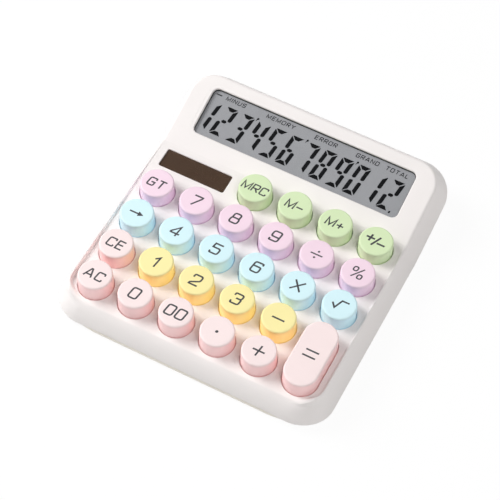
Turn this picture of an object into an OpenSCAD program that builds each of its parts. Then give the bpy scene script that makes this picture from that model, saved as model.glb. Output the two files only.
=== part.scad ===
// Desk calculator with a tilted twelve-digit display, 27 sprung keys, a solar
// cell and one AAA cell. Millimetres. Origin on the table under the middle of
// the case, X to the right, Y to the back, Z up.

/* [Case] */
// Width across the two side ridges
ridge_w = 136.2; // [134:0.2:150]
// Depth of the outer walls below the ridges
wall_depth = 14.2; // [13:0.1:14.6]
// Lean of the outer walls from square, degrees
wall_lean = 21; // [12:0.5:24]
// Radius of the case corners at ridge level
corner_r = 12.6; // [8:0.2:16]
// Wall and display top thickness
shell = 2; // [1.8:0.1:2.2]
// Tilt of the display section, degrees
display_tilt = 16; // [14:0.5:20]
// Length of the display section's top
display_len = 43.5; // [43:0.5:60]
// Front edge of the case to the centre of the first key row
front_margin = 17.3; // [16.5:0.1:24]
// Centre of the last key row to the crease under the display
crease_margin = 8.65; // [8.5:0.05:14]

/* [Key deck] */
// Slope of the key deck toward the user, degrees
deck_slope = 1.4; // [0.8:0.1:1.8]
// Thickness of the key deck
deck_t = 2; // [1.6:0.1:2.2]
// Flat land on top of each side ridge
ridge_land = 0.6; // [0.4:0.1:1.5]
// Lean of the wall inside each ridge, degrees
inner_lean = 20; // [5:1:30]
// Corner radius of the sunken deck
deck_corner_r = 10; // [6:0.5:12]
// Front edge of the case to the front of the sunken deck
deck_front = 5.6; // [5:0.1:6]

/* [Keys] */
// Radius of a key top
key_r = 8.48; // [8:0.02:8.5]
// How much a key widens from its top to its foot
key_flare = 0.2; // [0:0.05:0.25]
// Rounding of the key top edge
key_edge_r = 0.6; // [0.2:0.1:1]
// Height of the key tops above the side ridges
key_rise = 7; // [6:0.1:9]
// Distance between key columns
column_pitch = 22; // [21:0.1:22.5]
// Distance between key rows
row_pitch = 20.15; // [20:0.05:23]
// Distance from the fourth row to the memory row
top_row_pitch = 20.5; // [20:0.05:23]
// Travel of a key
key_travel = 2; // [1.2:0.1:2]
// Gap between a key and its well
well_gap = 0.28; // [0.2:0.02:0.32]
// Wall of a key cap
key_wall = 1.3; // [1:0.1:1.6]
// Width of the rim that keeps a key in its well
rim_lip = 0.75; // [0.5:0.05:0.8]
// Thickness of that rim
rim_t = 1; // [0.8:0.1:1.2]
// Radius of the stem under a key
stem_r = 2.4; // [2:0.1:2.6]

/* [Display] */
// Ridge line to each side of the display window
window_margin = 11.3; // [11.1:0.1:18]
// Height of the display window
window_h = 26.2; // [20:0.2:26.4]
// Corner radius of the display window
window_r = 3; // [1:0.5:4]
// Crease to the near edge of the display window
window_at = 10.4; // [10:0.1:12]
// Depth of the window pane below the case surface
pane_depth = 1; // [0.6:0.1:1]
// Thickness of the window pane
pane_t = 0.9; // [0.6:0.1:0.9]
// Thickness of each display glass
glass_t = 1.1; // [0.7:0.1:1.1]

/* [Solar cell] */
// Width of the solar window
solar_w = 36.8; // [30:0.2:38]
// Height of the solar window
solar_h = 11.1; // [9:0.1:11.4]
// Side ridge to the near end of the solar window
solar_from_ridge = 5.3; // [4.5:0.1:8]
// Crease to the far edge of the solar window
solar_from_crease = 3.6; // [3.4:0.1:4.6]

/* [Base] */
// Height of the feet below the base
foot_proud = 1.2; // [0.8:0.1:2]
// Radius of a foot
foot_r = 5.5; // [4:0.5:7]
// Thickness of the base floor
floor_t = 2; // [1.8:0.1:2.4]
// Base edge inside the case edge
base_inset = 1.2; // [1:0.1:2]
// Narrowing of the base toward the back, each side
base_taper = 5; // [4.5:0.1:6]
// Width of the base strip seen at the front
strip_w = 117; // [60:1:120]
// Height of the base strip above the floor
strip_rise = 1.2; // [0.6:0.1:2]

/* [Board] */
// Thickness of the circuit board
board_t = 1.2; // [0.8:0.1:1.6]
// Gap between the base floor and the board
board_gap = 1.4; // [1.3:0.1:1.6]
// Thickness of the rubber mat
mat_t = 1.2; // [0.8:0.1:1.4]
// Height of a rubber dome above the mat
dome_h = 2.3; // [1.8:0.1:2.4]

/* [Battery] */
// Diameter of the cell
cell_d = 10.5; // [8:0.1:10.5]
// Length of the cell with its nub
cell_len = 44.5; // [30:0.5:46]
// Back edge of the base to the middle of the cell
cell_from_back = 11; // [10.5:0.1:12]

/* [Hidden] */
$fn = 64;
touch = 0.01;
far = 300;
slip = 0.1;
seat_gap = 0.05;

case_colour = [0.95, 0.94, 0.92];
base_colour = [0.96, 0.94, 0.89];
pink = [0.98, 0.8, 0.81];
yellow = [1, 0.86, 0.42];
cyan = [0.68, 0.92, 0.96];
lavender = [0.9, 0.74, 0.88];
green = [0.72, 0.87, 0.6];

// Each key: name, column from the left, row from the front, rows it spans, colour
KEYS = [
    ["ac", 0, 0, 1, pink],
    ["0", 1, 0, 1, pink],
    ["00", 2, 0, 1, pink],
    ["point", 3, 0, 1, pink],
    ["plus", 4, 0, 1, pink],
    ["equals", 5, 0, 2, pink],
    ["ce", 0, 1, 1, pink],
    ["1", 1, 1, 1, yellow],
    ["2", 2, 1, 1, yellow],
    ["3", 3, 1, 1, yellow],
    ["minus", 4, 1, 1, yellow],
    ["backspace", 0, 2, 1, cyan],
    ["4", 1, 2, 1, cyan],
    ["5", 2, 2, 1, cyan],
    ["6", 3, 2, 1, cyan],
    ["times", 4, 2, 1, cyan],
    ["root", 5, 2, 1, cyan],
    ["grand_total", 0, 3, 1, lavender],
    ["7", 1, 3, 1, lavender],
    ["8", 2, 3, 1, lavender],
    ["9", 3, 3, 1, lavender],
    ["divide", 4, 3, 1, lavender],
    ["percent", 5, 3, 1, lavender],
    ["memory_recall", 2, 4, 1, green],
    ["memory_minus", 3, 4, 1, green],
    ["memory_plus", 4, 4, 1, green],
    ["sign", 5, 4, 1, green],
];
function key_node(k) = str("key_", k[0]);

// Heights above the table
base_z = foot_proud;
floor_z = base_z + floor_t;
ridge_z = floor_z + wall_depth;
key_top_z = ridge_z + key_rise;
board_z = floor_z + board_gap;
board_top = board_z + board_t;
mat_z = board_top + slip;
mat_top = mat_z + mat_t;

// Plan of the case, front to back
wall_run = wall_depth * tan(wall_lean);
back_reach = (display_len + wall_run) * cos(display_tilt) + wall_depth * sin(display_tilt);
crease_run = front_margin + 3 * row_pitch + top_row_pitch + crease_margin;
case_depth = crease_run + back_reach;
front_y = -case_depth / 2;
crease_y = front_y + crease_run;

function column_x(c) = (c - 2.5) * column_pitch;
function row_y(r) = front_y + front_margin + min(r, 3) * row_pitch + max(r - 3, 0) * top_row_pitch;
function between_columns(c) = (column_x(c) + column_x(c + 1)) / 2;
function between_rows(r) = (row_y(r) + row_y(r + 1)) / 2;

// Centre of every stem
STEMS = [for (k = KEYS) for (s = [0 : k[3] - 1]) [column_x(k[1]), row_y(k[2] + s)]];

// Keys and wells
well_r = key_r + key_flare + well_gap;
collar_wall = 0.9;
collar_z = mat_top + dome_h + 2.9;
rim_r = well_r + rim_lip;
rim_gap = 0.2;
rim_top = collar_z - rim_gap;
rim_z = rim_top - rim_t;
pad_t = 0.12;
stem_z = board_top + pad_t + key_travel + seat_gap;
dome_wall = 0.8;
dome_r = 6;
dome_hole_r = stem_r + 0.45;

// Posts that reach down from the deck, and their screws
post_r = 3.2;
post_clear = 0.5;
board_screw_r = 1;
case_screw_r = 1.2;
pilot_gap = 0.05;
screw_bite = 4;
BOARD_POSTS = [for (c = [0, 2, 4], r = [1, 3]) [between_columns(c), between_rows(r)]];
FRONT_POSTS = [for (c = [1, 3]) [between_columns(c), between_rows(0)]];
back_post_r = 2.8;
back_post_x = ridge_w / 2 - shell - back_post_r - 0.3;
back_post_near = 9.5;
back_post_far = 34;
BACK_POSTS = [
    for (x = [-1, 1], y = [back_post_near, back_post_far]) [x * back_post_x, crease_y + y]
];
CASE_POSTS = concat(FRONT_POSTS, BACK_POSTS);

// Display stack, as depths below the display's surface
window_w = ridge_w - 2 * window_margin;
window_mid = window_at + window_h / 2;
pane_edge = 1.6;
stack_gap = 0.05;
pane_low = pane_depth + pane_t;
film_t = 0.2;
film_top = max(pane_low, shell) + stack_gap;
front_glass_top = film_top + film_t;
rear_glass_top = front_glass_top + glass_t;
reflector_top = rear_glass_top + glass_t;
reflector_t = 0.3;
frame_plate_top = reflector_top + reflector_t + stack_gap;
frame_plate_t = 1.2;
frame_low = frame_plate_top + frame_plate_t;
frame_wall = 1.2;
glass_lap_w = 0.9;
glass_lap_h = 0.7;
glass_w = window_w + 2 * glass_lap_w;
glass_h = window_h + 2 * glass_lap_h;
contact_ledge = 2;
frame_in_w = glass_w + 2 * slip;
frame_w = frame_in_w + 2 * frame_wall;
frame_near = window_mid - glass_h / 2 - contact_ledge - frame_wall - slip;
frame_far = window_mid + glass_h / 2 + frame_wall + slip;
ribbon_w = 80;
ribbon_t = 0.15;
ribbon_reach = 3.5;
ear_r = 2;
ear_t = 1.5;
ear_gap = 0.2;
ear_top = frame_low - ear_t;
frame_screw_r = 0.8;
FRAME_EARS = [
    for (x = [-1, 1], y = [frame_near - ear_r - ear_gap, frame_far + ear_r + ear_gap])
        [x * (frame_w / 2 - 6), y]
];

// Solar stack, in the deck's frame
solar_x = -ridge_w / 2 + solar_from_ridge + solar_w / 2;
solar_mid = -solar_from_crease - solar_h / 2;
solar_pane_depth = 0.7;
solar_edge = 0.8;
solar_cell_t = 1.1;

// How far the two halves run past the crease, and how far the rear walls stand in
crease_lap = 26;
crease_ease = 0.03;
front_allow = 2;

// Base
hump_y0 = crease_y;
hollow_y0 = crease_y + wall_depth * tan(display_tilt / 2) + 1;
base_half_w = ridge_w / 2 + wall_run - base_inset;
hump_back_inset = 4.4;
base_back = crease_y + back_reach - hump_back_inset;
hump_back_half_w = base_half_w - base_taper;
hump_wall = 2;
hump_corner_r = 12;
base_corner_r = corner_r + wall_run - base_inset;
lip_inset = 2.1;
lip_t = 1.2;
lip_h = 2;
strip_t = 2.2;

// Feet and screw heads under the base
foot_pocket = 0.8;
foot_side = 21;
foot_end = 12;
FEET = [
    for (x = [-1, 1], y = [front_y + foot_end, base_back - foot_end])
        [x * (base_half_w - foot_side), y]
];
head_h = 1;
head_r = 2.3;
head_sink = 1.2;

// Board and mat
board_half_w = 62.5;
board_y0 = front_y + 5.5;
board_y1 = crease_y + 6;
mat_half_w = column_x(5) + 8.5;
mat_margin = 9.5;
mat_step_x = between_columns(1);

// Battery well and door
cell_y = base_back - cell_from_back;
cell_r = cell_d / 2;
cell_z = floor_z + slip + cell_r;
cell_room = 0.5;
nub_r = 1.9;
nub_len = 1.2;
well_wall = 1.2;
spring_room = 5.2;
contact_room = 0.9;
contact_t = 0.4;
well_x0 = -cell_len / 2 - spring_room;
well_x1 = cell_len / 2 + contact_room;
spring_x = well_x0 + slip;
contact_x = cell_len / 2 + seat_gap;
wire_end_x = ribbon_w / 2 + 6;
well_y0 = cell_y - cell_r - cell_room;
well_y1 = cell_y + cell_r + cell_room;
well_top = cell_z + cell_r + cell_room;
door_side = 1.6;
door_half_w = -well_x0 + door_side;
door_y0 = well_y0 - 3;
door_t = floor_t - 2 * slip;
tongue_w = 1.1;
tongue_t = 0.7;
tongue_z = 0.7;
pad_margin = 3;
door_pad_t = 1.6;

// ---------- shared shapes ----------

// Outline of a rectangle with round corners
function rounded_rect(w, h, r, n = 8) = [
    for (q = [0 : 3], i = [0 : n])
        let (a = 90 * (q + i / n), sx = (q == 0 || q == 3) ? 1 : -1, sy = q < 2 ? 1 : -1)
        [sx * (w / 2 - r) + r * cos(a), sy * (h / 2 - r) + r * sin(a)]
];

module plate(w, h, t, r) {
    linear_extrude(t)
        polygon(rounded_rect(w, h, r));
}

// A block whose top lies at depth d0 and whose walls lean out by k per unit of depth
module leaning_block(half_w, y0, y1, r, d0, d1, k) {
    translate([0, y1 - r, 0])
        rotate([90, 0, 0])
            linear_extrude(y1 - y0 - 2 * r)
                polygon([
                    [-half_w - k * d1, -d1], [half_w + k * d1, -d1],
                    [half_w + k * d0, -d0], [-half_w - k * d0, -d0]
                ]);
    translate([r - half_w, 0, 0])
        rotate([90, 0, 90])
            linear_extrude(2 * (half_w - r))
                polygon([
                    [y0 - k * d1, -d1], [y1 + k * d1, -d1],
                    [y1 + k * d0, -d0], [y0 - k * d0, -d0]
                ]);
    for (x = [r - half_w, half_w - r], y = [y0 + r, y1 - r])
        translate([x, y, -d1])
            cylinder(h = d1 - d0, r1 = r + k * d1, r2 = r + k * d0);
}

// Frames at the crease: level with the ridges, along the deck, along the display
module at_ridge() {
    translate([0, crease_y, ridge_z])
        children();
}

module at_deck() {
    at_ridge()
        rotate([deck_slope, 0, 0])
            children();
}

module at_display() {
    at_ridge()
        rotate([display_tilt, 0, 0])
            children();
}

// Everything in front of the mitre plane at the crease
module before_mitre() {
    at_ridge()
        rotate([display_tilt / 2, 0, 0])
            translate([-far / 2, -far, -far / 2])
                cube([far, far, far]);
}

// Everything between two depths, bent at the crease like the case
module bent_band(d0, d1) {
    lean = tan(display_tilt / 2);
    back = [far / 2 * cos(display_tilt), far / 2 * sin(display_tilt)];
    translate([-far / 2, crease_y, ridge_z])
        rotate([90, 0, 90])
            linear_extrude(far)
                polygon([
                    [-far / 2, -d1], [d1 * lean, -d1], [d1 * lean, -d1] + back,
                    [d0 * lean, -d0] + back, [d0 * lean, -d0], [-far / 2, -d0]
                ]);
}

// Rounded front of the case, drawn in by inset
module front_round(inset) {
    round_y = front_y + wall_depth;
    translate([-far / 2, round_y, floor_z])
        rotate([0, 90, 0])
            cylinder(h = far, r = wall_depth - inset, $fn = 96);
    translate([-far / 2, round_y, -far / 2])
        cube([far, far, far]);
}

// The bent case outline between two depths, its walls drawn in by inset
module case_block(inset, d0, d1) {
    k = tan(wall_lean);
    half_w = ridge_w / 2 - inset;
    r = corner_r - inset;
    front = inset + wall_run - crease_run - front_allow;
    intersection() {
        union() {
            intersection() {
                front_round(inset);
                at_ridge()
                    leaning_block(half_w, front, crease_lap, r, d0, d1 + 1, k);
            }
            at_display()
                leaning_block(
                    half_w - crease_ease, -crease_lap, display_len - inset, r, d0, d1 + 1, k
                );
        }
        bent_band(-far / 4, d1);
    }
}

// The bent slab under the case edge, drawn in from the base edge by inset
module base_slab(inset, d0, d1) {
    half_w = base_half_w - inset;
    r = base_corner_r - inset;
    back = display_len + wall_run - base_inset - inset;
    intersection() {
        union() {
            at_ridge()
                leaning_block(
                    half_w, base_inset + inset - crease_run, crease_lap, r, -far / 4, far / 4, 0
                );
            at_display()
                leaning_block(half_w, -crease_lap, back, r, -far / 4, far / 4, 0);
        }
        bent_band(d0, d1);
    }
}

// Plan of the base behind y0: it narrows to the back
function hump_outline(inset, y0) =
    let (
        t = atan(base_taper / (base_back - hump_y0)),
        r = hump_corner_r - inset,
        half_w = base_half_w - inset / cos(t) - (y0 - hump_y0) * tan(t),
        back_x = hump_back_half_w - inset * (1 - sin(t)) / cos(t) - r * (1 - sin(t)) / cos(t),
        back_y = base_back - inset - r,
        right = [
            for (i = [0 : 8])
                let (a = t + (90 - t) * i / 8)
                [back_x + r * cos(a), back_y + r * sin(a)]
        ],
        left = [for (i = [8 : -1 : 0]) [-right[i][0], right[i][1]]]
    )
    concat([[half_w, y0]], right, left, [[-half_w, y0]]);

// A round bar run along a route, with flat ends; level is never along the route
function unit(v) = v / norm(v);
function along(p, i) = unit(p[min(i + 1, len(p) - 1)] - p[max(i - 1, 0)]);
module bar(p, r, level, sides = 8) {
    ring = [
        for (i = [0 : len(p) - 1])
            let (
                t = along(p, i),
                u = unit(cross(t, level)),
                w = cross(t, u)
            )
            for (s = [0 : sides - 1])
                let (a = 360 * s / sides)
                p[i] + r * (cos(a) * u + sin(a) * w)
    ];
    last = (len(p) - 1) * sides;
    walls = [
        for (i = [0 : len(p) - 2], s = [0 : sides - 1])
            let (n = (s + 1) % sides)
            [i * sides + s, (i + 1) * sides + s, (i + 1) * sides + n, i * sides + n]
    ];
    polyhedron(
        ring,
        concat(walls, [[for (s = [0 : sides - 1]) s]], [[for (s = [sides - 1 : -1 : 0]) last + s]]),
        convexity = 4
    );
}

// A screw that points up, its head below z = 0
module screw(head_r, head_h, shank_r, length) {
    slot_w = head_r / 3;
    difference() {
        translate([0, 0, -head_h])
            cylinder(h = head_h, r = head_r);
        for (a = [0, 90])
            rotate([0, 0, a])
                translate([-0.7 * head_r, -slot_w / 2, -head_h - touch])
                    cube([1.4 * head_r, slot_w, head_h / 2]);
    }
    translate([0, 0, -touch])
        cylinder(h = length + touch, r = shank_r);
}

// ---------- keys ----------

// A half profile swept round both ends of a run along Y
module capsule(half, span) {
    for (y = span > 0 ? [0, span] : [0])
        translate([0, y, 0])
            rotate_extrude()
                polygon(half);
    if (span > 0)
        translate([0, span, 0])
            rotate([90, 0, 0])
                linear_extrude(span)
                    polygon(concat(half, [for (i = [len(half) - 2 : -1 : 1]) [-half[i][0], half[i][1]]]));
}

function key_outside() = concat(
    [[0, rim_z], [rim_r, rim_z], [rim_r, rim_top], [key_r + key_flare, rim_top]],
    [
        for (a = [0 : 15 : 90])
            [key_r - key_edge_r * (1 - cos(a)), key_top_z - key_edge_r * (1 - sin(a))]
    ],
    [[0, key_top_z]]
);

function key_inside() = [
    [0, rim_z - touch], [key_r - key_wall, rim_z - touch],
    [key_r - key_wall, key_top_z - key_wall], [0, key_top_z - key_wall]
];

function key_span(k) = row_y(k[2] + k[3] - 1) - row_y(k[2]);

module key_cap(k) {
    color(k[4])
        translate([column_x(k[1]), row_y(k[2]), 0]) {
            difference() {
                capsule(key_outside(), key_span(k));
                capsule(key_inside(), key_span(k));
            }
            for (y = k[3] > 1 ? [0, key_span(k)] : [0])
                translate([0, y, stem_z])
                    cylinder(h = key_top_z - key_wall / 2 - stem_z, r = stem_r);
        }
}

// ---------- upper case ----------

module wells(r, z0, z1) {
    for (k = KEYS)
        translate([column_x(k[1]), row_y(k[2]), 0])
            capsule([[0, z0], [r, z0], [r, z1], [0, z1]], key_span(k));
}

module above_deck(depth) {
    intersection() {
        before_mitre();
        at_deck()
            translate([-far / 2, -far, -depth])
                cube([far, 2 * far, far]);
    }
}

module cavity() {
    difference() {
        case_block(shell, shell, 2 * wall_depth);
        above_deck(deck_t);
    }
}

module sunken_deck() {
    intersection() {
        above_deck(0);
        at_ridge()
            leaning_block(
                ridge_w / 2 - ridge_land, deck_front - crease_run, far / 3,
                deck_corner_r, -1, wall_depth / 2, -tan(inner_lean)
            );
    }
}

module posts(sites, r, z0) {
    for (p = sites)
        translate([p[0], p[1], z0])
            cylinder(h = 2 * wall_depth, r = r);
}

module display_cutout() {
    at_display()
        translate([0, window_mid, 0]) {
            translate([0, 0, -shell - 1])
                plate(window_w, window_h, shell + 2, window_r);
            translate([0, 0, -shell - 1])
                plate(
                    window_w + 2 * pane_edge, window_h + 2 * pane_edge,
                    shell + 1 - pane_depth, window_r
                );
        }
}

module solar_cutout() {
    at_deck()
        translate([solar_x, solar_mid, -deck_t - 1]) {
            plate(solar_w, solar_h, deck_t + 2, 1);
            plate(
                solar_w + 2 * solar_edge, solar_h + 2 * solar_edge,
                deck_t + 1 - solar_pane_depth, 1
            );
        }
}

module upper_case() {
    color(case_colour)
        difference() {
            union() {
                difference() {
                    case_block(0, 0, wall_depth);
                    cavity();
                }
                intersection() {
                    case_block(shell / 2, shell / 2, 2 * wall_depth);
                    union() {
                        wells(well_r + collar_wall, collar_z, ridge_z);
                        posts(BOARD_POSTS, post_r, board_top);
                        posts(FRONT_POSTS, post_r, floor_z);
                        posts(BACK_POSTS, back_post_r, floor_z);
                    }
                }
                at_display()
                    for (p = FRAME_EARS)
                        translate([p[0], p[1], -ear_top])
                            cylinder(h = ear_top - shell / 2, r = ear_r);
            }
            sunken_deck();
            wells(well_r, collar_z - 1, key_top_z);
            display_cutout();
            solar_cutout();
            for (p = BOARD_POSTS)
                translate([p[0], p[1], board_top - 1])
                    cylinder(h = screw_bite + 2, r = board_screw_r + pilot_gap);
            for (p = CASE_POSTS)
                translate([p[0], p[1], floor_z - 1])
                    cylinder(h = 2 * screw_bite + 2, r = case_screw_r + pilot_gap);
            at_display()
                for (p = FRAME_EARS)
                    translate([p[0], p[1], -ear_top - 1])
                        cylinder(h = ear_top - shell + 0.8, r = frame_screw_r + pilot_gap);
            translate([-strip_w / 2, front_y - 1, floor_z - 1])
                cube([strip_w, strip_t + 1.4, strip_rise + 1]);
        }
}

// ---------- display ----------

module display_window() {
    color([0.8, 0.85, 0.88])
        at_display()
            translate([0, window_mid, -pane_low])
                plate(
                    window_w + 2 * (pane_edge - slip), window_h + 2 * (pane_edge - slip),
                    pane_t, window_r - slip
                );
}

module front_polariser() {
    color([0.6, 0.62, 0.6])
        at_display()
            translate([0, window_mid, -front_glass_top])
                plate(glass_w - 0.4, glass_h - 0.4, film_t, 1);
}

module lcd_front_glass() {
    color([0.62, 0.64, 0.65])
        at_display()
            translate([0, window_mid, -rear_glass_top])
                plate(glass_w, glass_h, glass_t, 0.5);
}

module lcd_rear_glass() {
    color([0.58, 0.6, 0.6])
        at_display()
            translate([0, window_mid - contact_ledge / 2, -reflector_top])
                plate(glass_w, glass_h + contact_ledge, glass_t, 0.5);
}

module rear_reflector() {
    color([0.66, 0.68, 0.68])
        at_display()
            translate([0, window_mid, -reflector_top - reflector_t])
                plate(glass_w - 0.4, glass_h - 0.4, reflector_t, 1);
}

module lcd_frame() {
    frame_h = frame_far - frame_near;
    mid = (frame_far + frame_near) / 2;
    color([0.9, 0.9, 0.88])
        at_display()
            difference() {
                union() {
                    translate([0, mid, -frame_low])
                        plate(frame_w, frame_h, frame_low - film_top, 1.5);
                    for (p = FRAME_EARS) {
                        translate([p[0], p[1], -frame_low])
                            cylinder(h = ear_t - slip, r = ear_r);
                        translate([p[0] - ear_r, min(p[1], mid), -frame_low])
                            cube([2 * ear_r, abs(p[1] - mid), ear_t - slip]);
                    }
                }
                translate([0, mid, -frame_plate_top])
                    plate(frame_in_w, frame_h - 2 * frame_wall, frame_low, 0.6);
                translate([-ribbon_w / 2 - 1, frame_near - 1, -rear_glass_top - slip])
                    cube([ribbon_w + 2, frame_wall + 2, rear_glass_top]);
                for (p = FRAME_EARS)
                    translate([p[0], p[1], -frame_low - 1])
                        cylinder(h = ear_t + 2, r = frame_screw_r + 2 * pilot_gap);
            }
}

// Ribbon: along the glass ledge, straight down behind the board's edge, onto the board
module lcd_ribbon() {
    bend_y = crease_y + ribbon_reach * cos(display_tilt) + rear_glass_top * sin(display_tilt);
    drop_y = bend_y + ribbon_t / 2;
    drop_z = ridge_z + ribbon_reach * sin(display_tilt) - rear_glass_top * cos(display_tilt);
    color([0.75, 0.55, 0.3]) {
        at_display()
            translate([-ribbon_w / 2, ribbon_reach, -rear_glass_top])
                cube([ribbon_w, window_mid - glass_h / 2 - ribbon_reach - slip, ribbon_t]);
        translate([-ribbon_w / 2, drop_y, board_top])
            cube([ribbon_w, ribbon_t, drop_z + ribbon_t - board_top]);
        translate([-ribbon_w / 2, drop_y - 3, board_top])
            cube([ribbon_w, 3 + ribbon_t, ribbon_t]);
    }
}

module frame_screws() {
    color([0.7, 0.7, 0.72])
        at_display()
            for (p = FRAME_EARS)
                translate([p[0], p[1], -frame_low])
                    screw(1.6, 0.8, frame_screw_r, frame_low - shell - 0.4);
}

// ---------- solar cell ----------

module solar_window() {
    color([0.3, 0.25, 0.22])
        at_deck()
            translate([solar_x, solar_mid, -solar_pane_depth - pane_t])
                plate(
                    solar_w + 2 * (solar_edge - slip), solar_h + 2 * (solar_edge - slip),
                    pane_t, 1
                );
}

module solar_cell() {
    color([0.2, 0.12, 0.12])
        at_deck()
            translate([solar_x, solar_mid, -solar_pane_depth - pane_t - stack_gap - solar_cell_t])
                plate(solar_w + solar_edge, solar_h + solar_edge, solar_cell_t, 0.5);
}

module solar_wires() {
    wire_r = 0.45;
    top_z = ridge_z + solar_mid * sin(deck_slope) - solar_pane_depth - pane_t - solar_cell_t - 0.9;
    wire_y = crease_y + solar_mid;
    for (s = [-1, 1])
        color(s < 0 ? [0.1, 0.1, 0.1] : [0.75, 0.1, 0.1])
            bar([
                [solar_x + 2 * s, wire_y, top_z],
                [solar_x + 4 * s, wire_y, top_z - 1.5],
                [solar_x + 6.5 * s, wire_y - 1, top_z - 2],
                [solar_x + 9 * s, wire_y - 2, top_z - 3.5],
                [solar_x + 9.4 * s, wire_y - 2, board_top + 0.1]
            ], wire_r, [0, 1, 0]);
}

// ---------- keypad board ----------

module rubber_dome_mat() {
    x = mat_half_w;
    y0 = row_y(0) - mat_margin;
    y1 = row_y(3) + mat_margin;
    y2 = min(row_y(4) + mat_margin - 1, crease_y + 1.5);
    color([0.85, 0.85, 0.82])
        difference() {
            union() {
                translate([0, 0, mat_z])
                    linear_extrude(mat_t)
                        polygon([
                        [-x, y0], [x, y0], [x, y2], [mat_step_x, y2], [mat_step_x, y1], [-x, y1]
                    ]);
                for (p = STEMS)
                    translate([p[0], p[1], mat_top - touch])
                        cylinder(h = dome_h + touch, r1 = dome_r, r2 = dome_hole_r + dome_wall);
            }
            for (p = STEMS)
                translate([p[0], p[1], mat_z - touch]) {
                    cylinder(h = mat_t + dome_h - dome_wall, r1 = dome_r - dome_wall, r2 = dome_hole_r);
                    cylinder(h = mat_t + dome_h + 1, r = dome_hole_r);
                }
            posts(BOARD_POSTS, post_r + post_clear, 0);
            posts(FRONT_POSTS, post_r + post_clear, 0);
        }
}

module contact_pads() {
    color([0.12, 0.12, 0.13])
        for (p = STEMS)
            translate([p[0], p[1], board_top])
                cylinder(h = pad_t, r = stem_r + 0.8);
}

module main_circuit_board() {
    color([0.2, 0.45, 0.25])
        difference() {
            translate([0, (board_y0 + board_y1) / 2, board_z])
                plate(2 * board_half_w, board_y1 - board_y0, board_t, 6);
            for (p = BOARD_POSTS)
                translate([p[0], p[1], 0])
                    cylinder(h = far, r = board_screw_r + 3 * pilot_gap);
            posts(FRONT_POSTS, post_r + post_clear, 0);
        }
}

module chip_blob() {
    blob_r = 5;
    blob_h = 1.8;
    dome = (blob_r * blob_r + blob_h * blob_h) / (2 * blob_h);
    color([0.08, 0.08, 0.09])
        intersection() {
            translate([solar_x, crease_y + solar_mid + 2, board_top + blob_h - dome])
                sphere(r = dome);
            translate([-far / 2, -far / 2, board_top])
                cube([far, far, far]);
        }
}

module board_components() {
    y = crease_y + solar_mid;
    color([0.15, 0.2, 0.5])
        translate([solar_x - 13, y + 1, board_top + 2])
            rotate([90, 0, 0])
                cylinder(h = 6, r = 2);
    color([0.7, 0.6, 0.4]) {
        translate([solar_x + 13, y - 1, board_top])
            cylinder(h = 1.6, r = 2.4);
        for (i = [0 : 3])
            translate([solar_x + 7 + 2.6 * i, y + 4, board_top])
                cube([1.2, 2, 0.6]);
    }
}

module board_screws() {
    color([0.75, 0.75, 0.77])
        for (p = BOARD_POSTS)
            translate([p[0], p[1], board_z])
                screw(head_r - 0.2, head_h, board_screw_r, board_t + screw_bite);
}

// ---------- base ----------

module lower_case() {
    color(base_colour)
        difference() {
            union() {
                base_slab(0, wall_depth, wall_depth + floor_t);
                intersection() {
                    at_display()
                        translate([-far / 2, -far / 2, -far - wall_depth - floor_t / 2])
                            cube([far, far, far]);
                    translate([0, 0, base_z])
                        linear_extrude(far / 4)
                            polygon(hump_outline(0, hump_y0));
                }
                translate([-strip_w / 2 + slip, front_y, base_z])
                    cube([strip_w - 2 * slip, strip_t, floor_t + strip_rise]);
                edge_lip();
            }
            translate([0, 0, floor_z])
                linear_extrude(far / 4)
                    polygon(hump_outline(hump_wall, hollow_y0));
            door_opening();
            for (p = FEET)
                translate([p[0], p[1], base_z - touch])
                    cylinder(h = foot_pocket + touch, r = foot_r + seat_gap);
            for (p = CASE_POSTS)
                translate([p[0], p[1], base_z - touch]) {
                    cylinder(h = head_sink + touch, r = head_r + 2 * slip);
                    cylinder(h = floor_t + 1, r = case_screw_r + 2 * slip);
                }
        }
    color(base_colour)
        battery_well();
}

// Low rib that locates the upper case on the base
module edge_lip() {
    intersection() {
        difference() {
            base_slab(lip_inset, wall_depth - lip_h, wall_depth + touch);
            base_slab(lip_inset + lip_t, 0, wall_depth + 1);
        }
        translate([-far / 2, crease_y - far - 6, 0])
            cube([far, far, far]);
    }
}

module door_opening() {
    translate([-door_half_w, door_y0, base_z - 1])
        cube([2 * door_half_w, far, floor_t + 1 + touch]);
    translate([-door_half_w - tongue_w - slip, door_y0, base_z + tongue_z - slip])
        cube([2 * (door_half_w + tongue_w + slip), far, tongue_t + 2 * slip]);
}

// The pad over the door and the roofed well that holds the cell
module battery_well() {
    pad_x = door_half_w + pad_margin;
    well_w = well_x1 - well_x0;
    difference() {
        union() {
            translate([-pad_x, door_y0 - pad_margin, floor_z])
                cube([2 * pad_x, base_back - hump_wall / 2 - door_y0 + pad_margin, door_pad_t]);
            translate([well_x0 - well_wall, well_y0 - well_wall, floor_z])
                cube([
                    well_w + 2 * well_wall, well_y1 - well_y0 + 2 * well_wall,
                    well_top + well_wall - floor_z
                ]);
        }
        translate([well_x0, well_y0, 0])
            cube([well_w, well_y1 - well_y0, well_top]);
        for (x = [spring_x, contact_x])
            translate([x - slip, cell_y - 2, well_top - 1])
                cube([contact_t + 2 * slip, 4, 4]);
    }
}

module battery() {
    body_len = cell_len - nub_len;
    color([0.75, 0.6, 0.2])
        translate([-cell_len / 2, cell_y, cell_z])
            rotate([0, 90, 0])
                rotate_extrude()
                    polygon([
                        [0, 0], [cell_r - 0.8, 0], [cell_r, 0.5], [cell_r, body_len - 0.5],
                        [cell_r - 0.8, body_len], [nub_r, body_len], [nub_r, cell_len], [0, cell_len]
                    ]);
}

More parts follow.
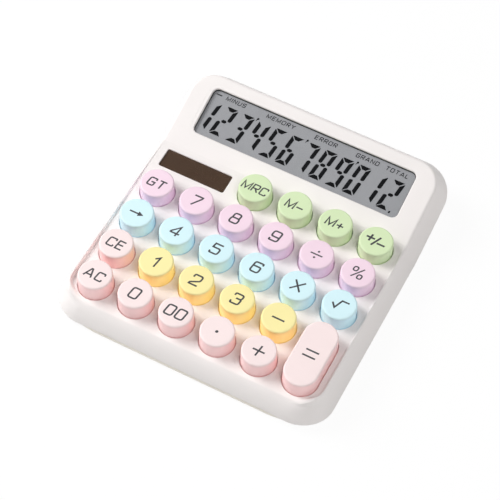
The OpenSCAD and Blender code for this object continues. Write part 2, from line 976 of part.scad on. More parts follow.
// A contact plate whose tail stands up through the well roof
module contact_plate(x) {
    translate([x, cell_y - 4, cell_z - 4])
        cube([contact_t, 8, 8]);
    translate([x, cell_y - 1.5, cell_z])
        cube([contact_t, 3, well_top + well_wall + 1 - cell_z]);
}

module battery_spring() {
    wire = 0.35;
    turns = 3.5;
    steps = 14;
    coil_r = 3.8;
    coil_taper = 1.6;
    start_x = spring_x + contact_t + 0.8 * wire;
    run = spring_room - slip - contact_t - 2 * wire - seat_gap;
    color([0.8, 0.8, 0.78]) {
        contact_plate(spring_x);
        bar([
            for (i = [0 : turns * steps])
                let (a = 360 * i / steps, part = i / (turns * steps), r = coil_r - coil_taper * part)
                [start_x + run * part, cell_y + r * cos(a), cell_z + r * sin(a)]
        ], wire, [1, 0, 0]);
    }
}

module battery_positive_contact() {
    color([0.8, 0.8, 0.78])
        contact_plate(contact_x);
}

module battery_wires() {
    wire_r = 0.5;
    roof = well_top + well_wall;
    ends = [
        [spring_x + contact_t / 2, -wire_end_x, [0.1, 0.1, 0.1]],
        [contact_x + contact_t / 2, wire_end_x, [0.75, 0.1, 0.1]]
    ];
    for (e = ends)
        color(e[2])
            bar([
                [e[0], cell_y - 1.7 - wire_r, roof + wire_r + 0.2],
                [e[0], well_y0 - 1, roof + wire_r + 0.2],
                [e[0], well_y0 - 3.5, roof - 1.5],
                [e[0], well_y0 - 4.5, roof - 6],
                [(e[0] + e[1]) / 2, board_y1 + 5, board_top + 2],
                [e[1], board_y1 + 1, board_top + 1.6],
                [e[1], board_y1 - 1.5, board_top + 0.9],
                [e[1], board_y1 - 1.6, board_top + 0.1]
            ], wire_r, [1, 0, 0]);
}

module battery_door() {
    w = door_half_w - slip;
    color(base_colour)
        difference() {
            union() {
                translate([-w, door_y0 + slip, base_z])
                    cube([2 * w, base_back - door_y0 - slip, door_t]);
                translate([-w - tongue_w, door_y0 + slip, base_z + tongue_z])
                    cube([2 * (w + tongue_w), base_back - door_y0 - slip - 2, tongue_t]);
            }
            for (i = [0 : 4])
                translate([-8, base_back - 5 - 1.6 * i, base_z - touch])
                    cube([16, 0.8, 0.5]);
        }
}

module case_screws() {
    color([0.3, 0.3, 0.32])
        for (p = CASE_POSTS)
            translate([p[0], p[1], base_z + head_sink])
                screw(head_r, head_h, case_screw_r, floor_t - head_sink + 2 * screw_bite);
}

module rubber_feet() {
    edge = 0.5;
    top = base_z + foot_pocket - seat_gap;
    color([0.2, 0.2, 0.21])
        for (p = FEET)
            translate([p[0], p[1], 0])
                rotate_extrude()
                    polygon([[0, 0], [foot_r - edge, 0], [foot_r, edge], [foot_r, top], [0, top]]);
}

upper_case();
lower_case();
display_window();
front_polariser();
lcd_front_glass();
lcd_rear_glass();
rear_reflector();
lcd_frame();
lcd_ribbon();
frame_screws();
solar_window();
solar_cell();
solar_wires();
rubber_dome_mat();
contact_pads();
main_circuit_board();
chip_blob();
board_components();
board_screws();
case_screws();
battery();
battery_spring();
battery_positive_contact();
battery_wires();
battery_door();
rubber_feet();
for (k = KEYS) key_cap(k);
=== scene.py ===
import logging
import math
from contextlib import contextmanager
from dataclasses import dataclass
from enum import Enum
from functools import cache
from typing import Iterator, Optional, Sequence

import bmesh
import bpy
from mathutils import Matrix, Vector


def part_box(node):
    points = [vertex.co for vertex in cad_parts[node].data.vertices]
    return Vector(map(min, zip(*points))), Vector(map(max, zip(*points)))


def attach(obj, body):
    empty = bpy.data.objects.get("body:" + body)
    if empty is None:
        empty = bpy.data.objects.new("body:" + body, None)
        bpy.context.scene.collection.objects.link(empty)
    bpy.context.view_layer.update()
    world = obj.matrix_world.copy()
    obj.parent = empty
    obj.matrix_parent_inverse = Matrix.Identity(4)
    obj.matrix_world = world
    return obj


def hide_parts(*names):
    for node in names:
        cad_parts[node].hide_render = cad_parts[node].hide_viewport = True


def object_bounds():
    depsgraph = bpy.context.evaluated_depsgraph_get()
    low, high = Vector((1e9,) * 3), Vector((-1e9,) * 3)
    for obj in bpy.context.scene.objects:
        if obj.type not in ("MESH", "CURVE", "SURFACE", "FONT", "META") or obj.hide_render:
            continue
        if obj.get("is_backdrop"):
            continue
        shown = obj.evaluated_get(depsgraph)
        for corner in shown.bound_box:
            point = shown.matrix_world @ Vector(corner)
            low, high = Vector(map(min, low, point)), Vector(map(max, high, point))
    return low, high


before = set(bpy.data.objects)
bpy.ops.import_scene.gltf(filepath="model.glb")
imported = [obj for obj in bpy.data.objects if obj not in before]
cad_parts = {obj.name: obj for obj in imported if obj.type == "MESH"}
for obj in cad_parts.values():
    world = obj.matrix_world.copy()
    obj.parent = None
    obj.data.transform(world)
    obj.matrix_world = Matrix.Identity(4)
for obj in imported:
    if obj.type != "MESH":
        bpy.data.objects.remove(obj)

MM = 0.001
FREE_NAME = "scratch"
SUNK = -0.02
CLEAR = 0.36
SPLAY = 0.5
WHITE = (1, 1, 1, 1)
log = logging.getLogger("calculator")

Point = tuple[float, float]
Triple = tuple[float, float, float]
Linear = tuple[float, float, float, float]
Colour = tuple[int, int, int]
Loop = list[Vector]
Solid = tuple[list[Triple], list[list[int]]]
Stroke = Sequence[Point]
Thing = bpy.types.Object
Material = bpy.types.Material
Socket = bpy.types.NodeSocket
Outputs = bpy.types.bpy_prop_collection


# ---------------------------------------------------------------- finishes


def linear(colour: Colour) -> Linear:
    """Turn a written 0-255 colour into the shader's linear one.

    Args:
        colour: Red, green and blue from 0 to 255.

    Returns:
        Linear red, green, blue and full opacity.
    """
    parts = [c / 255 for c in colour]
    flat = [p / 12.92 if p <= 0.04045 else ((p + 0.055) / 1.055) ** 2.4 for p in parts]
    return (flat[0], flat[1], flat[2], 1.0)


def shade(colour: Colour, factor: float) -> Linear:
    """A written colour made darker or lighter by a factor."""
    red, green, blue, full = linear(colour)
    return (min(red * factor, 1), min(green * factor, 1), min(blue * factor, 1), full)


class Tree:
    """A node tree under construction, with the short calls that every tree needs."""

    def __init__(self, tree: bpy.types.NodeTree) -> None:
        """Keep the tree."""
        self.tree = tree

    def feed(self, socket: Socket, value: object) -> None:
        """Link a socket into another, or set a plain value on it.

        Args:
            socket: Where it goes.
            value: A socket, or a plain value.
        """
        if isinstance(value, Socket):
            self.tree.links.new(value, socket)
        else:
            socket.default_value = value

    def node(self, kind: str, inputs: Optional[dict[object, object]] = None, **settings: object) -> Outputs:
        """Add a node.

        Args:
            kind: Its type.
            inputs: What goes into it, by the input's name or number.
            **settings: Its properties, set before the inputs.

        Returns:
            Its outputs.
        """
        made = self.tree.nodes.new(kind)
        for key, value in settings.items():
            setattr(made, key, value)
        for key, value in (inputs or {}).items():
            self.feed(made.inputs[key], value)
        return made.outputs

    def math(self, operation: str, a: object, b: object = 0.0, clamp: bool = False) -> Socket:
        """One step of arithmetic on two values."""
        return self.node("ShaderNodeMath", {0: a, 1: b}, operation=operation, use_clamp=clamp)[0]

    def mixed(self, share: object, first: Socket, second: Socket) -> Socket:
        """Mix two shaders: the first at share 0, the second at share 1."""
        return self.node("ShaderNodeMixShader", {0: share, 1: first, 2: second})[0]

    def seen(self) -> Socket:
        """1 where the camera looks, directly or through something clear, and else 0."""
        ray = self.node("ShaderNodeLightPath")
        return self.math("MAXIMUM", ray["Is Camera Ray"], ray["Is Transmission Ray"])


class Shader(Tree):
    """A material under construction, with short calls for what finishes share."""

    def __init__(self, name: str) -> None:
        """Start a material with one Principled shader and Object coordinates.

        Args:
            name: Name of the material.
        """
        self.material = bpy.data.materials.new(name)
        self.material.use_nodes = True
        super().__init__(self.material.node_tree)
        self.body = self.tree.nodes["Principled BSDF"]
        self.place = self.node("ShaderNodeTexCoord")["Object"]

    def put(self, **inputs: object) -> None:
        """Set or link the Principled shader's inputs, named with _ for spaces."""
        for key, value in inputs.items():
            self.feed(self.body.inputs[key.replace("_", " ")], value)

    def stretch(self, scale: Triple, turn: float = 0.0) -> Socket:
        """Scale the Object coordinates, and turn them about Z by degrees.

        Args:
            scale: Factor along each axis.
            turn: Turn about Z in degrees.

        Returns:
            The mapped coordinates.
        """
        rotation = (0, 0, math.radians(turn))
        inputs = {"Vector": self.place, "Scale": scale, "Rotation": rotation}
        return self.node("ShaderNodeMapping", inputs)["Vector"]

    def noise(self, size: float, detail: float = 2.0, vector: Optional[Socket] = None) -> Socket:
        """Noise whose blotches are about size millimetres wide."""
        inputs = {"Vector": vector or self.place, "Scale": 1 / (size * MM), "Detail": detail}
        return self.node("ShaderNodeTexNoise", inputs)["Fac"]

    def axis(self, index: int) -> Socket:
        """One component of the Object coordinates, in metres."""
        return self.node("ShaderNodeSeparateXYZ", {0: self.place})[index]

    def spread(self, value: object, low: float, high: float) -> Socket:
        """Map noise from its usual 0.3-0.7 on to low-high."""
        inputs = {"Value": value, "From Min": 0.3, "From Max": 0.7, "To Min": low, "To Max": high}
        return self.node("ShaderNodeMapRange", inputs)["Result"]

    def blend(self, factor: object, first: object, second: object) -> Socket:
        """Mix two colours."""
        return self.node("ShaderNodeMix", {0: factor, 6: first, 7: second}, data_type="RGBA")[2]

    def mottle(self, colour: Colour, low: float, high: float, size: float, detail: float = 2.0) -> Socket:
        """A colour that drifts between two brightness factors in blotches of a size."""
        share = self.spread(self.noise(size, detail), 0, 1)
        return self.blend(share, shade(colour, low), shade(colour, high))

    def rough(self, middle: float, swing: float, size: float, detail: float = 2.0) -> Socket:
        """Roughness that varies about a middle value in blotches of a size."""
        return self.spread(self.noise(size, detail), middle - swing, middle + swing)

    def relief(self, height: object, depth: float, strength: float, under: Optional[Socket] = None) -> Socket:
        """Bump from a height field.

        Args:
            height: Height field from 0 to 1.
            depth: Height of the field in millimetres.
            strength: How much of it shows.
            under: Another bump below this one.

        Returns:
            The bumped normal.
        """
        inputs = {"Strength": strength, "Distance": depth * MM, "Height": height}
        if under is not None:
            inputs["Normal"] = under
        return self.node("ShaderNodeBump", inputs)["Normal"]

    def moulded(self, grain: float, depth: float) -> Socket:
        """Fine moulded grain over a faint, wide ripple."""
        return self.relief(self.noise(grain), depth, 0.5, self.relief(self.noise(9), 0.02, 0.4))


@dataclass(frozen=True)
class Finish:
    """A finish with its name and main colour; each kind lays out its own shader."""

    name: str
    colour: Colour

    def paint(self, s: Shader) -> None:
        """Set the shader's inputs."""
        raise NotImplementedError

    @cache
    def build(self) -> Material:
        """Make the material, once for each finish.

        Returns:
            The material.
        """
        s = Shader(self.name)
        self.paint(s)
        return s.material


@dataclass(frozen=True)
class Plastic(Finish):
    """Moulded plastic with a fine spark-eroded grain and faint flow variation."""

    drift: float = 0.02
    grain: float = 0.35
    depth: float = 0.012
    roughness: float = 0.42

    def paint(self, s: Shader) -> None:
        """Set the shader's inputs.

        Args:
            s: The shader under construction.
        """
        s.put(
            Base_Color=s.mottle(self.colour, 1 - self.drift, 1 + self.drift, 26, 3),
            Roughness=s.rough(self.roughness, 0.05, 4.5, 3),
            IOR=1.46,
            Normal=s.moulded(self.grain, self.depth),
        )


@dataclass(frozen=True)
class CapPlastic(Finish):
    """Milky key plastic with painted light: a painted side colour, brighter and more saturated than the top,
    and a painted glow (emission) on the sides stand in for light that soaks through from the top.
    """

    # side is a painted side colour and painted_glow a painted emission glow; both stand in for light soaking
    # through the cap.
    side: Colour
    painted_glow: Triple
    top: float
    roughness: float = 0.5

    def paint(self, s: Shader) -> None:
        """Set the shader's inputs by the depth below the key's top, with painted light on the sides.

        Args:
            s: The shader under construction.
        """
        below = s.math("SUBTRACT", self.top * MM, s.axis(2))
        # Share of the painted side colour, from 0.1 to 1 mm below the top.
        turned = s.math("DIVIDE", s.math("SUBTRACT", below, 0.1 * MM), 0.9 * MM, True)
        # Share of the painted glow, which grows over 2.2 mm below the top.
        glow_share = s.math("DIVIDE", s.math("SUBTRACT", below, 0.4 * MM), 2.2 * MM, True)
        upper = s.mottle(self.colour, 0.985, 1.015, 22, 3)
        lower = s.mottle(self.side, 0.97, 1.02, 22, 3)
        s.put(
            Base_Color=s.blend(turned, upper, lower),
            Roughness=s.rough(self.roughness, 0.05, 4.5, 3),
            IOR=1.46,
            # Painted glow: the sides emit light though they are no lamp.
            Emission_Color=s.blend(glow_share, (0, 0, 0, 1), (*self.painted_glow, 1)),
            Emission_Strength=1.0,
            Normal=s.moulded(0.3, 0.008),
        )


@dataclass(frozen=True)
class Rubber(Finish):
    """Matt rubber with a dusty grain."""

    roughness: float = 0.78

    def paint(self, s: Shader) -> None:
        """Set the shader's inputs.

        Args:
            s: The shader under construction.
        """
        s.put(
            Base_Color=s.mottle(self.colour, 0.85, 1.2, 1.6, 5),
            Roughness=s.rough(self.roughness, 0.08, 3),
            Normal=s.relief(s.noise(0.25, 3), 0.03, 0.6),
        )


@dataclass(frozen=True)
class Metal(Finish):
    """Plated or bare metal with turning or rolling marks."""

    roughness: float = 0.3
    marks: Triple = (1.0, 1.0, 8.0)

    def paint(self, s: Shader) -> None:
        """Set the shader's inputs.

        Args:
            s: The shader under construction.
        """
        marks = s.noise(0.5, 3, s.stretch(self.marks))
        s.put(
            Base_Color=s.mottle(self.colour, 0.85, 1.08, 3),
            Metallic=1.0,
            Roughness=s.spread(marks, self.roughness - 0.1, self.roughness + 0.12),
            Normal=s.relief(marks, 0.01, 0.4),
        )


@dataclass(frozen=True)
class ClearSheet(Finish):
    """Clear or tinted moulded sheet whose gloss grows toward grazing angles."""

    cover: float = 0.06
    roughness: float = 0.06

    def paint(self, s: Shader) -> None:
        """Set the shader's inputs.

        Args:
            s: The shader under construction.
        """
        edge = s.node("ShaderNodeLayerWeight", {"Blend": 0.25})["Fresnel"]
        gloss = s.math("MULTIPLY", edge, 0.3)
        haze = s.math("ADD", s.spread(s.noise(14, 3), 0, 0.01), self.cover)
        s.put(
            Base_Color=s.mottle(self.colour, 0.96, 1.03, 20),
            Roughness=s.spread(s.noise(6, 4), self.roughness, self.roughness + 0.05),
            Alpha=s.math("ADD", gloss, haze, True),
            Normal=s.relief(s.noise(30, 1), 0.02, 0.3),
        )


@dataclass(frozen=True)
class DisplayFilm(Finish):
    """The display's grey polarising film with its fine speckle."""

    def paint(self, s: Shader) -> None:
        """Set the shader's inputs.

        Args:
            s: The shader under construction.
        """
        cloud = s.math("MULTIPLY", s.spread(s.noise(18), 0, 1), 0.4)
        fine = s.mottle(self.colour, 0.94, 1.06, 0.45, 3)
        s.put(
            Base_Color=s.blend(cloud, fine, shade(self.colour, 1.05)),
            Roughness=s.rough(0.55, 0.05, 2.5, 3),
            Normal=s.relief(s.noise(0.3), 0.006, 0.5),
        )


@dataclass(frozen=True)
class SolarSilicon(Finish):
    """Brown amorphous silicon with thin scribed lines across its length."""

    line: Colour
    pitch: float = 9.2

    def paint(self, s: Shader) -> None:
        """Set the shader's inputs.

        Args:
            s: The shader under construction.
        """
        step = s.math("FRACT", s.math("DIVIDE", s.math("ADD", s.axis(0), 0.2), self.pitch * MM))
        scribe = s.math("LESS_THAN", step, 0.03)
        s.put(
            Base_Color=s.blend(scribe, s.mottle(self.colour, 0.88, 1.12, 3, 4), linear(self.line)),
            Roughness=s.rough(0.3, 0.05, 5),
            Normal=s.relief(s.math("SUBTRACT", 1.0, scribe), 0.02, 0.5),
        )


@dataclass(frozen=True)
class PrintedBoard(Finish):
    """Green solder mask over routed copper."""

    copper: Colour

    def paint(self, s: Shader) -> None:
        """Set the shader's inputs.

        Args:
            s: The shader under construction.
        """
        inputs = {"Vector": s.stretch((1, 1, 1), 45), "Scale": 220, "Mortar Size": 0.06}
        track = s.node("ShaderNodeTexBrick", inputs, offset=0.37, squash=1.6, squash_frequency=3)["Fac"]
        route = s.math("MULTIPLY", track, s.math("GREATER_THAN", s.noise(11, 1), 0.5))
        mask = s.mottle(self.colour, 0.9, 1.1, 7)
        s.put(
            Base_Color=s.blend(s.math("MULTIPLY", route, 0.75), mask, linear(self.copper)),
            Roughness=s.rough(0.35, 0.07, 2),
            Normal=s.relief(route, 0.05, 0.8, s.relief(s.noise(0.8), 0.01, 0.4)),
        )


@dataclass(frozen=True)
class Striped(Finish):
    """A base colour crossed by bands, as on a flat ribbon or a cell's printed sleeve."""

    band: Colour
    pitch: float
    share: float
    metal: float = 0.0
    roughness: float = 0.35

    def paint(self, s: Shader) -> None:
        """Set the shader's inputs.

        Args:
            s: The shader under construction.
        """
        run = s.math("DIVIDE", s.math("ADD", s.axis(0), 1.0), self.pitch * MM)
        lit = s.math("LESS_THAN", s.math("FRACT", run), self.share)
        worn = s.mottle(self.colour, 0.92, 1.08, 2.2, 4)
        s.put(
            Base_Color=s.blend(lit, worn, linear(self.band)),
            Metallic=self.metal,
            Roughness=s.rough(self.roughness, 0.06, 1.5),
            Normal=s.relief(s.noise(0.6), 0.01, 0.4),
        )


@dataclass(frozen=True)
class Ink(Finish):
    """Pad-printed ink with a slightly broken edge to its gloss."""

    roughness: float = 0.5
    gloss: float = 0.5

    def paint(self, s: Shader) -> None:
        """Set the shader's inputs.

        Args:
            s: The shader under construction.
        """
        s.put(
            Specular_IOR_Level=self.gloss,
            Base_Color=s.mottle(self.colour, 0.8, 1.25, 0.6, 4),
            Roughness=s.rough(self.roughness, 0.1, 0.9),
            Normal=s.relief(s.noise(0.2), 0.004, 0.5),
        )


class Tint(Enum):
    """Pastel colours of the keys: top, painted side colour, and the painted glow (emission) on the side."""

    # Second colour: painted side colour; third: painted glow, an emission on the side.
    PINK = ((246, 228, 227), (248, 216, 215), (0.08, 0.02, 0.02))
    YELLOW = ((248, 236, 169), (255, 236, 160), (0.17, 0.09, 0.015))
    CYAN = ((213, 242, 248), (208, 241, 249), (0.03, 0.06, 0.09))
    LAVENDER = ((243, 217, 231), (241, 214, 231), (0.045, 0.02, 0.05))
    GREEN = ((214, 232, 188), (213, 231, 187), (0.025, 0.04, 0.02))


CASE_PLASTIC = Plastic("white case plastic", (237, 232, 230), 0.012, 0.4, 0.01, 0.45)
BASE_PLASTIC = Plastic("cream base plastic", (238, 233, 222), 0.02, 0.4, 0.014, 0.5)
DOOR_PLASTIC = Plastic("cream door plastic", (237, 231, 220), 0.025, 0.4, 0.016, 0.5)
FRAME_PLASTIC = Plastic("display frame plastic", (226, 226, 222), 0.03, 0.5, 0.02, 0.55)
KEY_INK = Ink("key legend ink", (66, 66, 70))
DIGIT_INK = Ink("display digit", (8, 8, 11), 0.6, 0.12)
NOTE_INK = Ink("display indicator", (14, 14, 18), 0.6, 0.15)
GASKET = Rubber("window gasket", (34, 33, 34), 0.7)
FOOT_RUBBER = Rubber("dark rubber", (58, 57, 56))


# ------------------------------------------------------------- mesh helpers


def new_object(name: str, data: bpy.types.ID) -> Thing:
    """Link a mesh, lamp or camera into the scene as an object at the origin.

    Args:
        name: Its name.
        data: The mesh, lamp or camera.

    Returns:
        The new object.
    """
    made = bpy.data.objects.new(name, data)
    bpy.context.scene.collection.objects.link(made)
    return made


def mesh_object(name: str, points: Sequence[Vector], faces: Sequence[Sequence[int]]) -> Thing:
    """Make an object from points in metres and faces.

    Args:
        name: Object and mesh name.
        points: Corners in metres.
        faces: Corner numbers of each face.

    Returns:
        The new object.
    """
    mesh = bpy.data.meshes.new(name)
    mesh.from_pydata([tuple(p) for p in points], [], [list(f) for f in faces])
    mesh.update()
    return new_object(name, mesh)


@contextmanager
def editing(mesh: bpy.types.Mesh) -> Iterator[bmesh.types.BMesh]:
    """Open a mesh for editing, and write it back afterwards.

    Args:
        mesh: The mesh.

    Yields:
        The mesh in a form that can be edited.
    """
    work = bmesh.new()
    work.from_mesh(mesh)
    yield work
    work.to_mesh(mesh)
    work.free()


def face_out(obj: Thing) -> None:
    """Recalculate a closed mesh's normals outward."""
    with editing(obj.data) as work:
        bmesh.ops.recalc_face_normals(work, faces=work.faces)


def walls(rows: int, count: int) -> list[list[int]]:
    """Faces between rows of points that each go once round.

    Args:
        rows: How many rows there are.
        count: Points in each row.

    Returns:
        Corner numbers of each face.
    """
    return [
        [r * count + i, r * count + (i + 1) % count, (r + 1) * count + (i + 1) % count, (r + 1) * count + i]
        for r in range(rows - 1)
        for i in range(count)
    ]


def skin(name: str, loops: Sequence[Loop], cap: bool = True) -> Thing:
    """Skin a stack of equal closed loops, with a flat face over each end.

    Args:
        name: Object name.
        loops: Loops of the same length, in metres, from the first end to the last.
        cap: Whether the ends are closed.

    Returns:
        An object whose normals point outward.
    """
    count = len(loops[0])
    faces = walls(len(loops), count)
    if cap:
        faces.append(list(reversed(range(count))))
        faces.append([(len(loops) - 1) * count + i for i in range(count)])
    made = mesh_object(name, [p for loop in loops for p in loop], faces)
    face_out(made)
    return made


def prism(outline: Sequence[Point], low: float, high: float) -> Solid:
    """A flat outline raised to a closed solid between two heights.

    Args:
        outline: Corners across and along.
        low: Height of the underside.
        high: Height of the top.

    Returns:
        Points and faces of the solid.
    """
    n = len(outline)
    points = [(x, y, z) for z in (low, high) for x, y in outline]
    return points, [list(reversed(range(n))), [n + i for i in range(n)], *walls(2, n)]


def merged(parts: Sequence[Solid]) -> Solid:
    """Put the points and faces of several solids into one list each.

    Args:
        parts: The solids.

    Returns:
        Points and faces of all of them.
    """
    points: list[Triple] = []
    faces: list[list[int]] = []
    for some, sides in parts:
        base = len(points)
        points += some
        faces += [[base + i for i in side] for side in sides]
    return points, faces


def settle(obj: Thing) -> None:
    """Turn an object's modifiers into plain mesh.

    Args:
        obj: The object.
    """
    bpy.context.view_layer.update()
    seen = obj.evaluated_get(bpy.context.evaluated_depsgraph_get())
    mesh = bpy.data.meshes.new_from_object(seen)
    mesh.name = obj.name
    obj.modifiers.clear()
    obj.data = mesh


def combine(obj: Thing, tool: Thing, operation: str) -> None:
    """Join or cut an object with another, which is then thrown away.

    Args:
        obj: The object that stays.
        tool: The other object.
        operation: UNION or DIFFERENCE.
    """
    step = obj.modifiers.new(FREE_NAME, "BOOLEAN")
    step.solver = "EXACT"
    step.operation = operation
    step.object = tool
    settle(obj)
    bpy.data.objects.remove(tool)


def joined(name: str, parts: Sequence[Thing]) -> Thing:
    """Merge several objects' meshes into one object.

    Args:
        name: Name of the new object.
        parts: The objects, which are thrown away.

    Returns:
        The new object.
    """
    mesh = bpy.data.meshes.new(name)
    with editing(mesh) as work:
        for part in parts:
            work.from_mesh(part.data)
            bpy.data.objects.remove(part)
    return new_object(name, mesh)


def soften(obj: Thing, angle: float) -> None:
    """Shade smooth between faces that meet flatter than an angle, with flats kept flat.

    Args:
        obj: The object.
        angle: The angle in degrees.
    """
    obj.data.shade_smooth()
    obj.data.set_sharp_from_angle(angle=math.radians(angle))
    step = obj.modifiers.new(FREE_NAME, "WEIGHTED_NORMAL")
    step.keep_sharp = True
    step.weight = 90
    settle(obj)


def dress(obj: Thing, material: Material, body: str) -> None:
    """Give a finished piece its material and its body.

    Args:
        obj: The piece.
        material: Its finish.
        body: The body that it rides on.
    """
    obj.data.materials.clear()
    obj.data.materials.append(material)
    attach(obj, body)
    log.info("%s: %d faces on %s", obj.name, len(obj.data.polygons), body)


def arc(centre: Point, radius: float, start: float, end: float, steps: int) -> list[Point]:
    """Points of an arc, ends included, angles in degrees."""
    turns = [math.radians(start + (end - start) * i / steps) for i in range(steps + 1)]
    return [(centre[0] + radius * math.cos(a), centre[1] + radius * math.sin(a)) for a in turns]


def rounded(width: float, height: float, radius: float, steps: int = 10) -> list[Point]:
    """Outline of a rectangle with round corners, counter-clockwise, in millimetres.

    Args:
        width: Size across.
        height: Size along.
        radius: Radius of the corners.
        steps: Sides in each corner.

    Returns:
        Points about the rectangle's middle.
    """
    out = []
    for quarter, (sx, sy) in enumerate(((1, 1), (-1, 1), (-1, -1), (1, -1))):
        for i in range(steps + 1):
            angle = math.radians(90 * (quarter + i / steps))
            x, y = sx * (width / 2 - radius), sy * (height / 2 - radius)
            out.append((x + radius * math.cos(angle), y + radius * math.sin(angle)))
    return out


def ease(value: float, low: float, high: float) -> float:
    """Smooth step from 0 at low to 1 at high."""
    t = min(max((value - low) / (high - low), 0.0), 1.0)
    return t * t * (3 - 2 * t)


def spaced(start: float, end: float, count: int) -> list[float]:
    """Equal steps from a start, which is left out, to an end."""
    return [start + (end - start) * i / count for i in range(1, count + 1)]


def toward(azimuth: float, elevation: float) -> Vector:
    """Direction from the object to a place round it, angles in degrees."""
    az, el = math.radians(azimuth), math.radians(elevation)
    return Vector((math.sin(az) * math.cos(el), -math.cos(az) * math.cos(el), math.sin(el)))


# --------------------------------------------------------- turned shapes


class TurnedShape(Tree):
    """Geometry Nodes tree that turns a profile round Z, stretches it along Y and repeats it.

    The modifier sits on an object whose vertices are the profile: X is the
    radius and Z the height. Places are the vertices of another object.
    """

    SIZES = (
        ("Segments", "NodeSocketInt"),
        ("Span", "NodeSocketFloat"),
        ("Places", "NodeSocketObject"),
        ("Finish", "NodeSocketMaterial"),
    )

    def __init__(self) -> None:
        """Build the tree once for every turned piece."""
        super().__init__(bpy.data.node_groups.new("turned shape", "GeometryNodeTree"))
        face = self.tree.interface
        face.new_socket("Profile", in_out="INPUT", socket_type="NodeSocketGeometry")
        self.sockets = {
            name: face.new_socket(name, in_out="INPUT", socket_type=kind) for name, kind in self.SIZES
        }
        face.new_socket("Geometry", in_out="OUTPUT", socket_type="NodeSocketGeometry")
        self.wire()

    def wire(self) -> None:
        """Lay out the nodes: a grid of profile points times turns, bent into shape."""
        node, step = self.node, self.math
        given = node("NodeGroupInput")
        rows = node("GeometryNodeAttributeDomainSize", {0: given["Profile"]}, component="MESH")["Point Count"]
        across = step("ADD", given["Segments"], 1.0)
        grid = node(
            "GeometryNodeMeshGrid",
            {"Size X": 1.0, "Size Y": 1.0, "Vertices X": across, "Vertices Y": rows},
        )
        split = node("ShaderNodeSeparateXYZ", {0: node("GeometryNodeInputPosition")[0]})
        row = step("ROUND", step("MULTIPLY", step("ADD", split[1], 0.5), step("SUBTRACT", rows, 1.0)))
        shift = step("ADD", step("DIVIDE", 0.5, given["Segments"]), 0.5)
        turn = step("MULTIPLY", step("ADD", split[0], shift), math.tau)
        sample = node(
            "GeometryNodeSampleIndex",
            {"Geometry": given["Profile"], "Value": node("GeometryNodeInputPosition")[0], "Index": row},
            data_type="FLOAT_VECTOR",
            domain="POINT",
        )
        profile = node("ShaderNodeSeparateXYZ", {0: sample["Value"]})
        sine = step("SINE", turn)
        along = step("MULTIPLY", step("GREATER_THAN", sine, 0.0), given["Span"])
        x = step("MULTIPLY", profile[0], step("COSINE", turn))
        y = step("ADD", step("MULTIPLY", profile[0], sine), along)
        shape = node("ShaderNodeCombineXYZ", {0: x, 1: y, 2: profile[2]})
        bend = node("GeometryNodeSetPosition", {"Geometry": grid["Mesh"], "Position": shape[0]})
        weld = node("GeometryNodeMergeByDistance", {"Geometry": bend[0], "Distance": 1e-6})
        places = node("GeometryNodeObjectInfo", {"Object": given["Places"]})
        repeat = node("GeometryNodeInstanceOnPoints", {"Points": places["Geometry"], "Instance": weld[0]})
        real = node("GeometryNodeRealizeInstances", {0: repeat[0]})
        finish = node("GeometryNodeSetMaterial", {"Geometry": real[0], "Material": given["Finish"]})
        node("NodeGroupOutput", {0: finish[0]})

    def make(
        self,
        name: str,
        profile: Sequence[Point],
        places: Sequence[Triple],
        material: Material,
        span: float = 0.0,
        segments: int = 72,
    ) -> Thing:
        """Turn a profile and set it at each place.

        Args:
            name: Piece name.
            profile: Radius and height pairs in millimetres, from the axis to the axis.
            places: Where the shape stands, in millimetres.
            material: Its finish.
            span: Length between the two round ends in millimetres.
            segments: Faces round the axis.

        Returns:
            A plain closed mesh object.
        """
        stand = mesh_object(FREE_NAME, [Vector(p) * MM for p in places], [])
        made = mesh_object(name, [Vector((r, 0, h)) * MM for r, h in profile], [])
        step = made.modifiers.new("turned", "NODES")
        step.node_group = self.tree
        for (key, _), value in zip(self.SIZES, (segments, span * MM, stand, material)):
            step[self.sockets[key].identifier] = value
        settle(made)
        bpy.data.objects.remove(stand)
        face_out(made)
        return made


# ------------------------------------------------------------ lettering


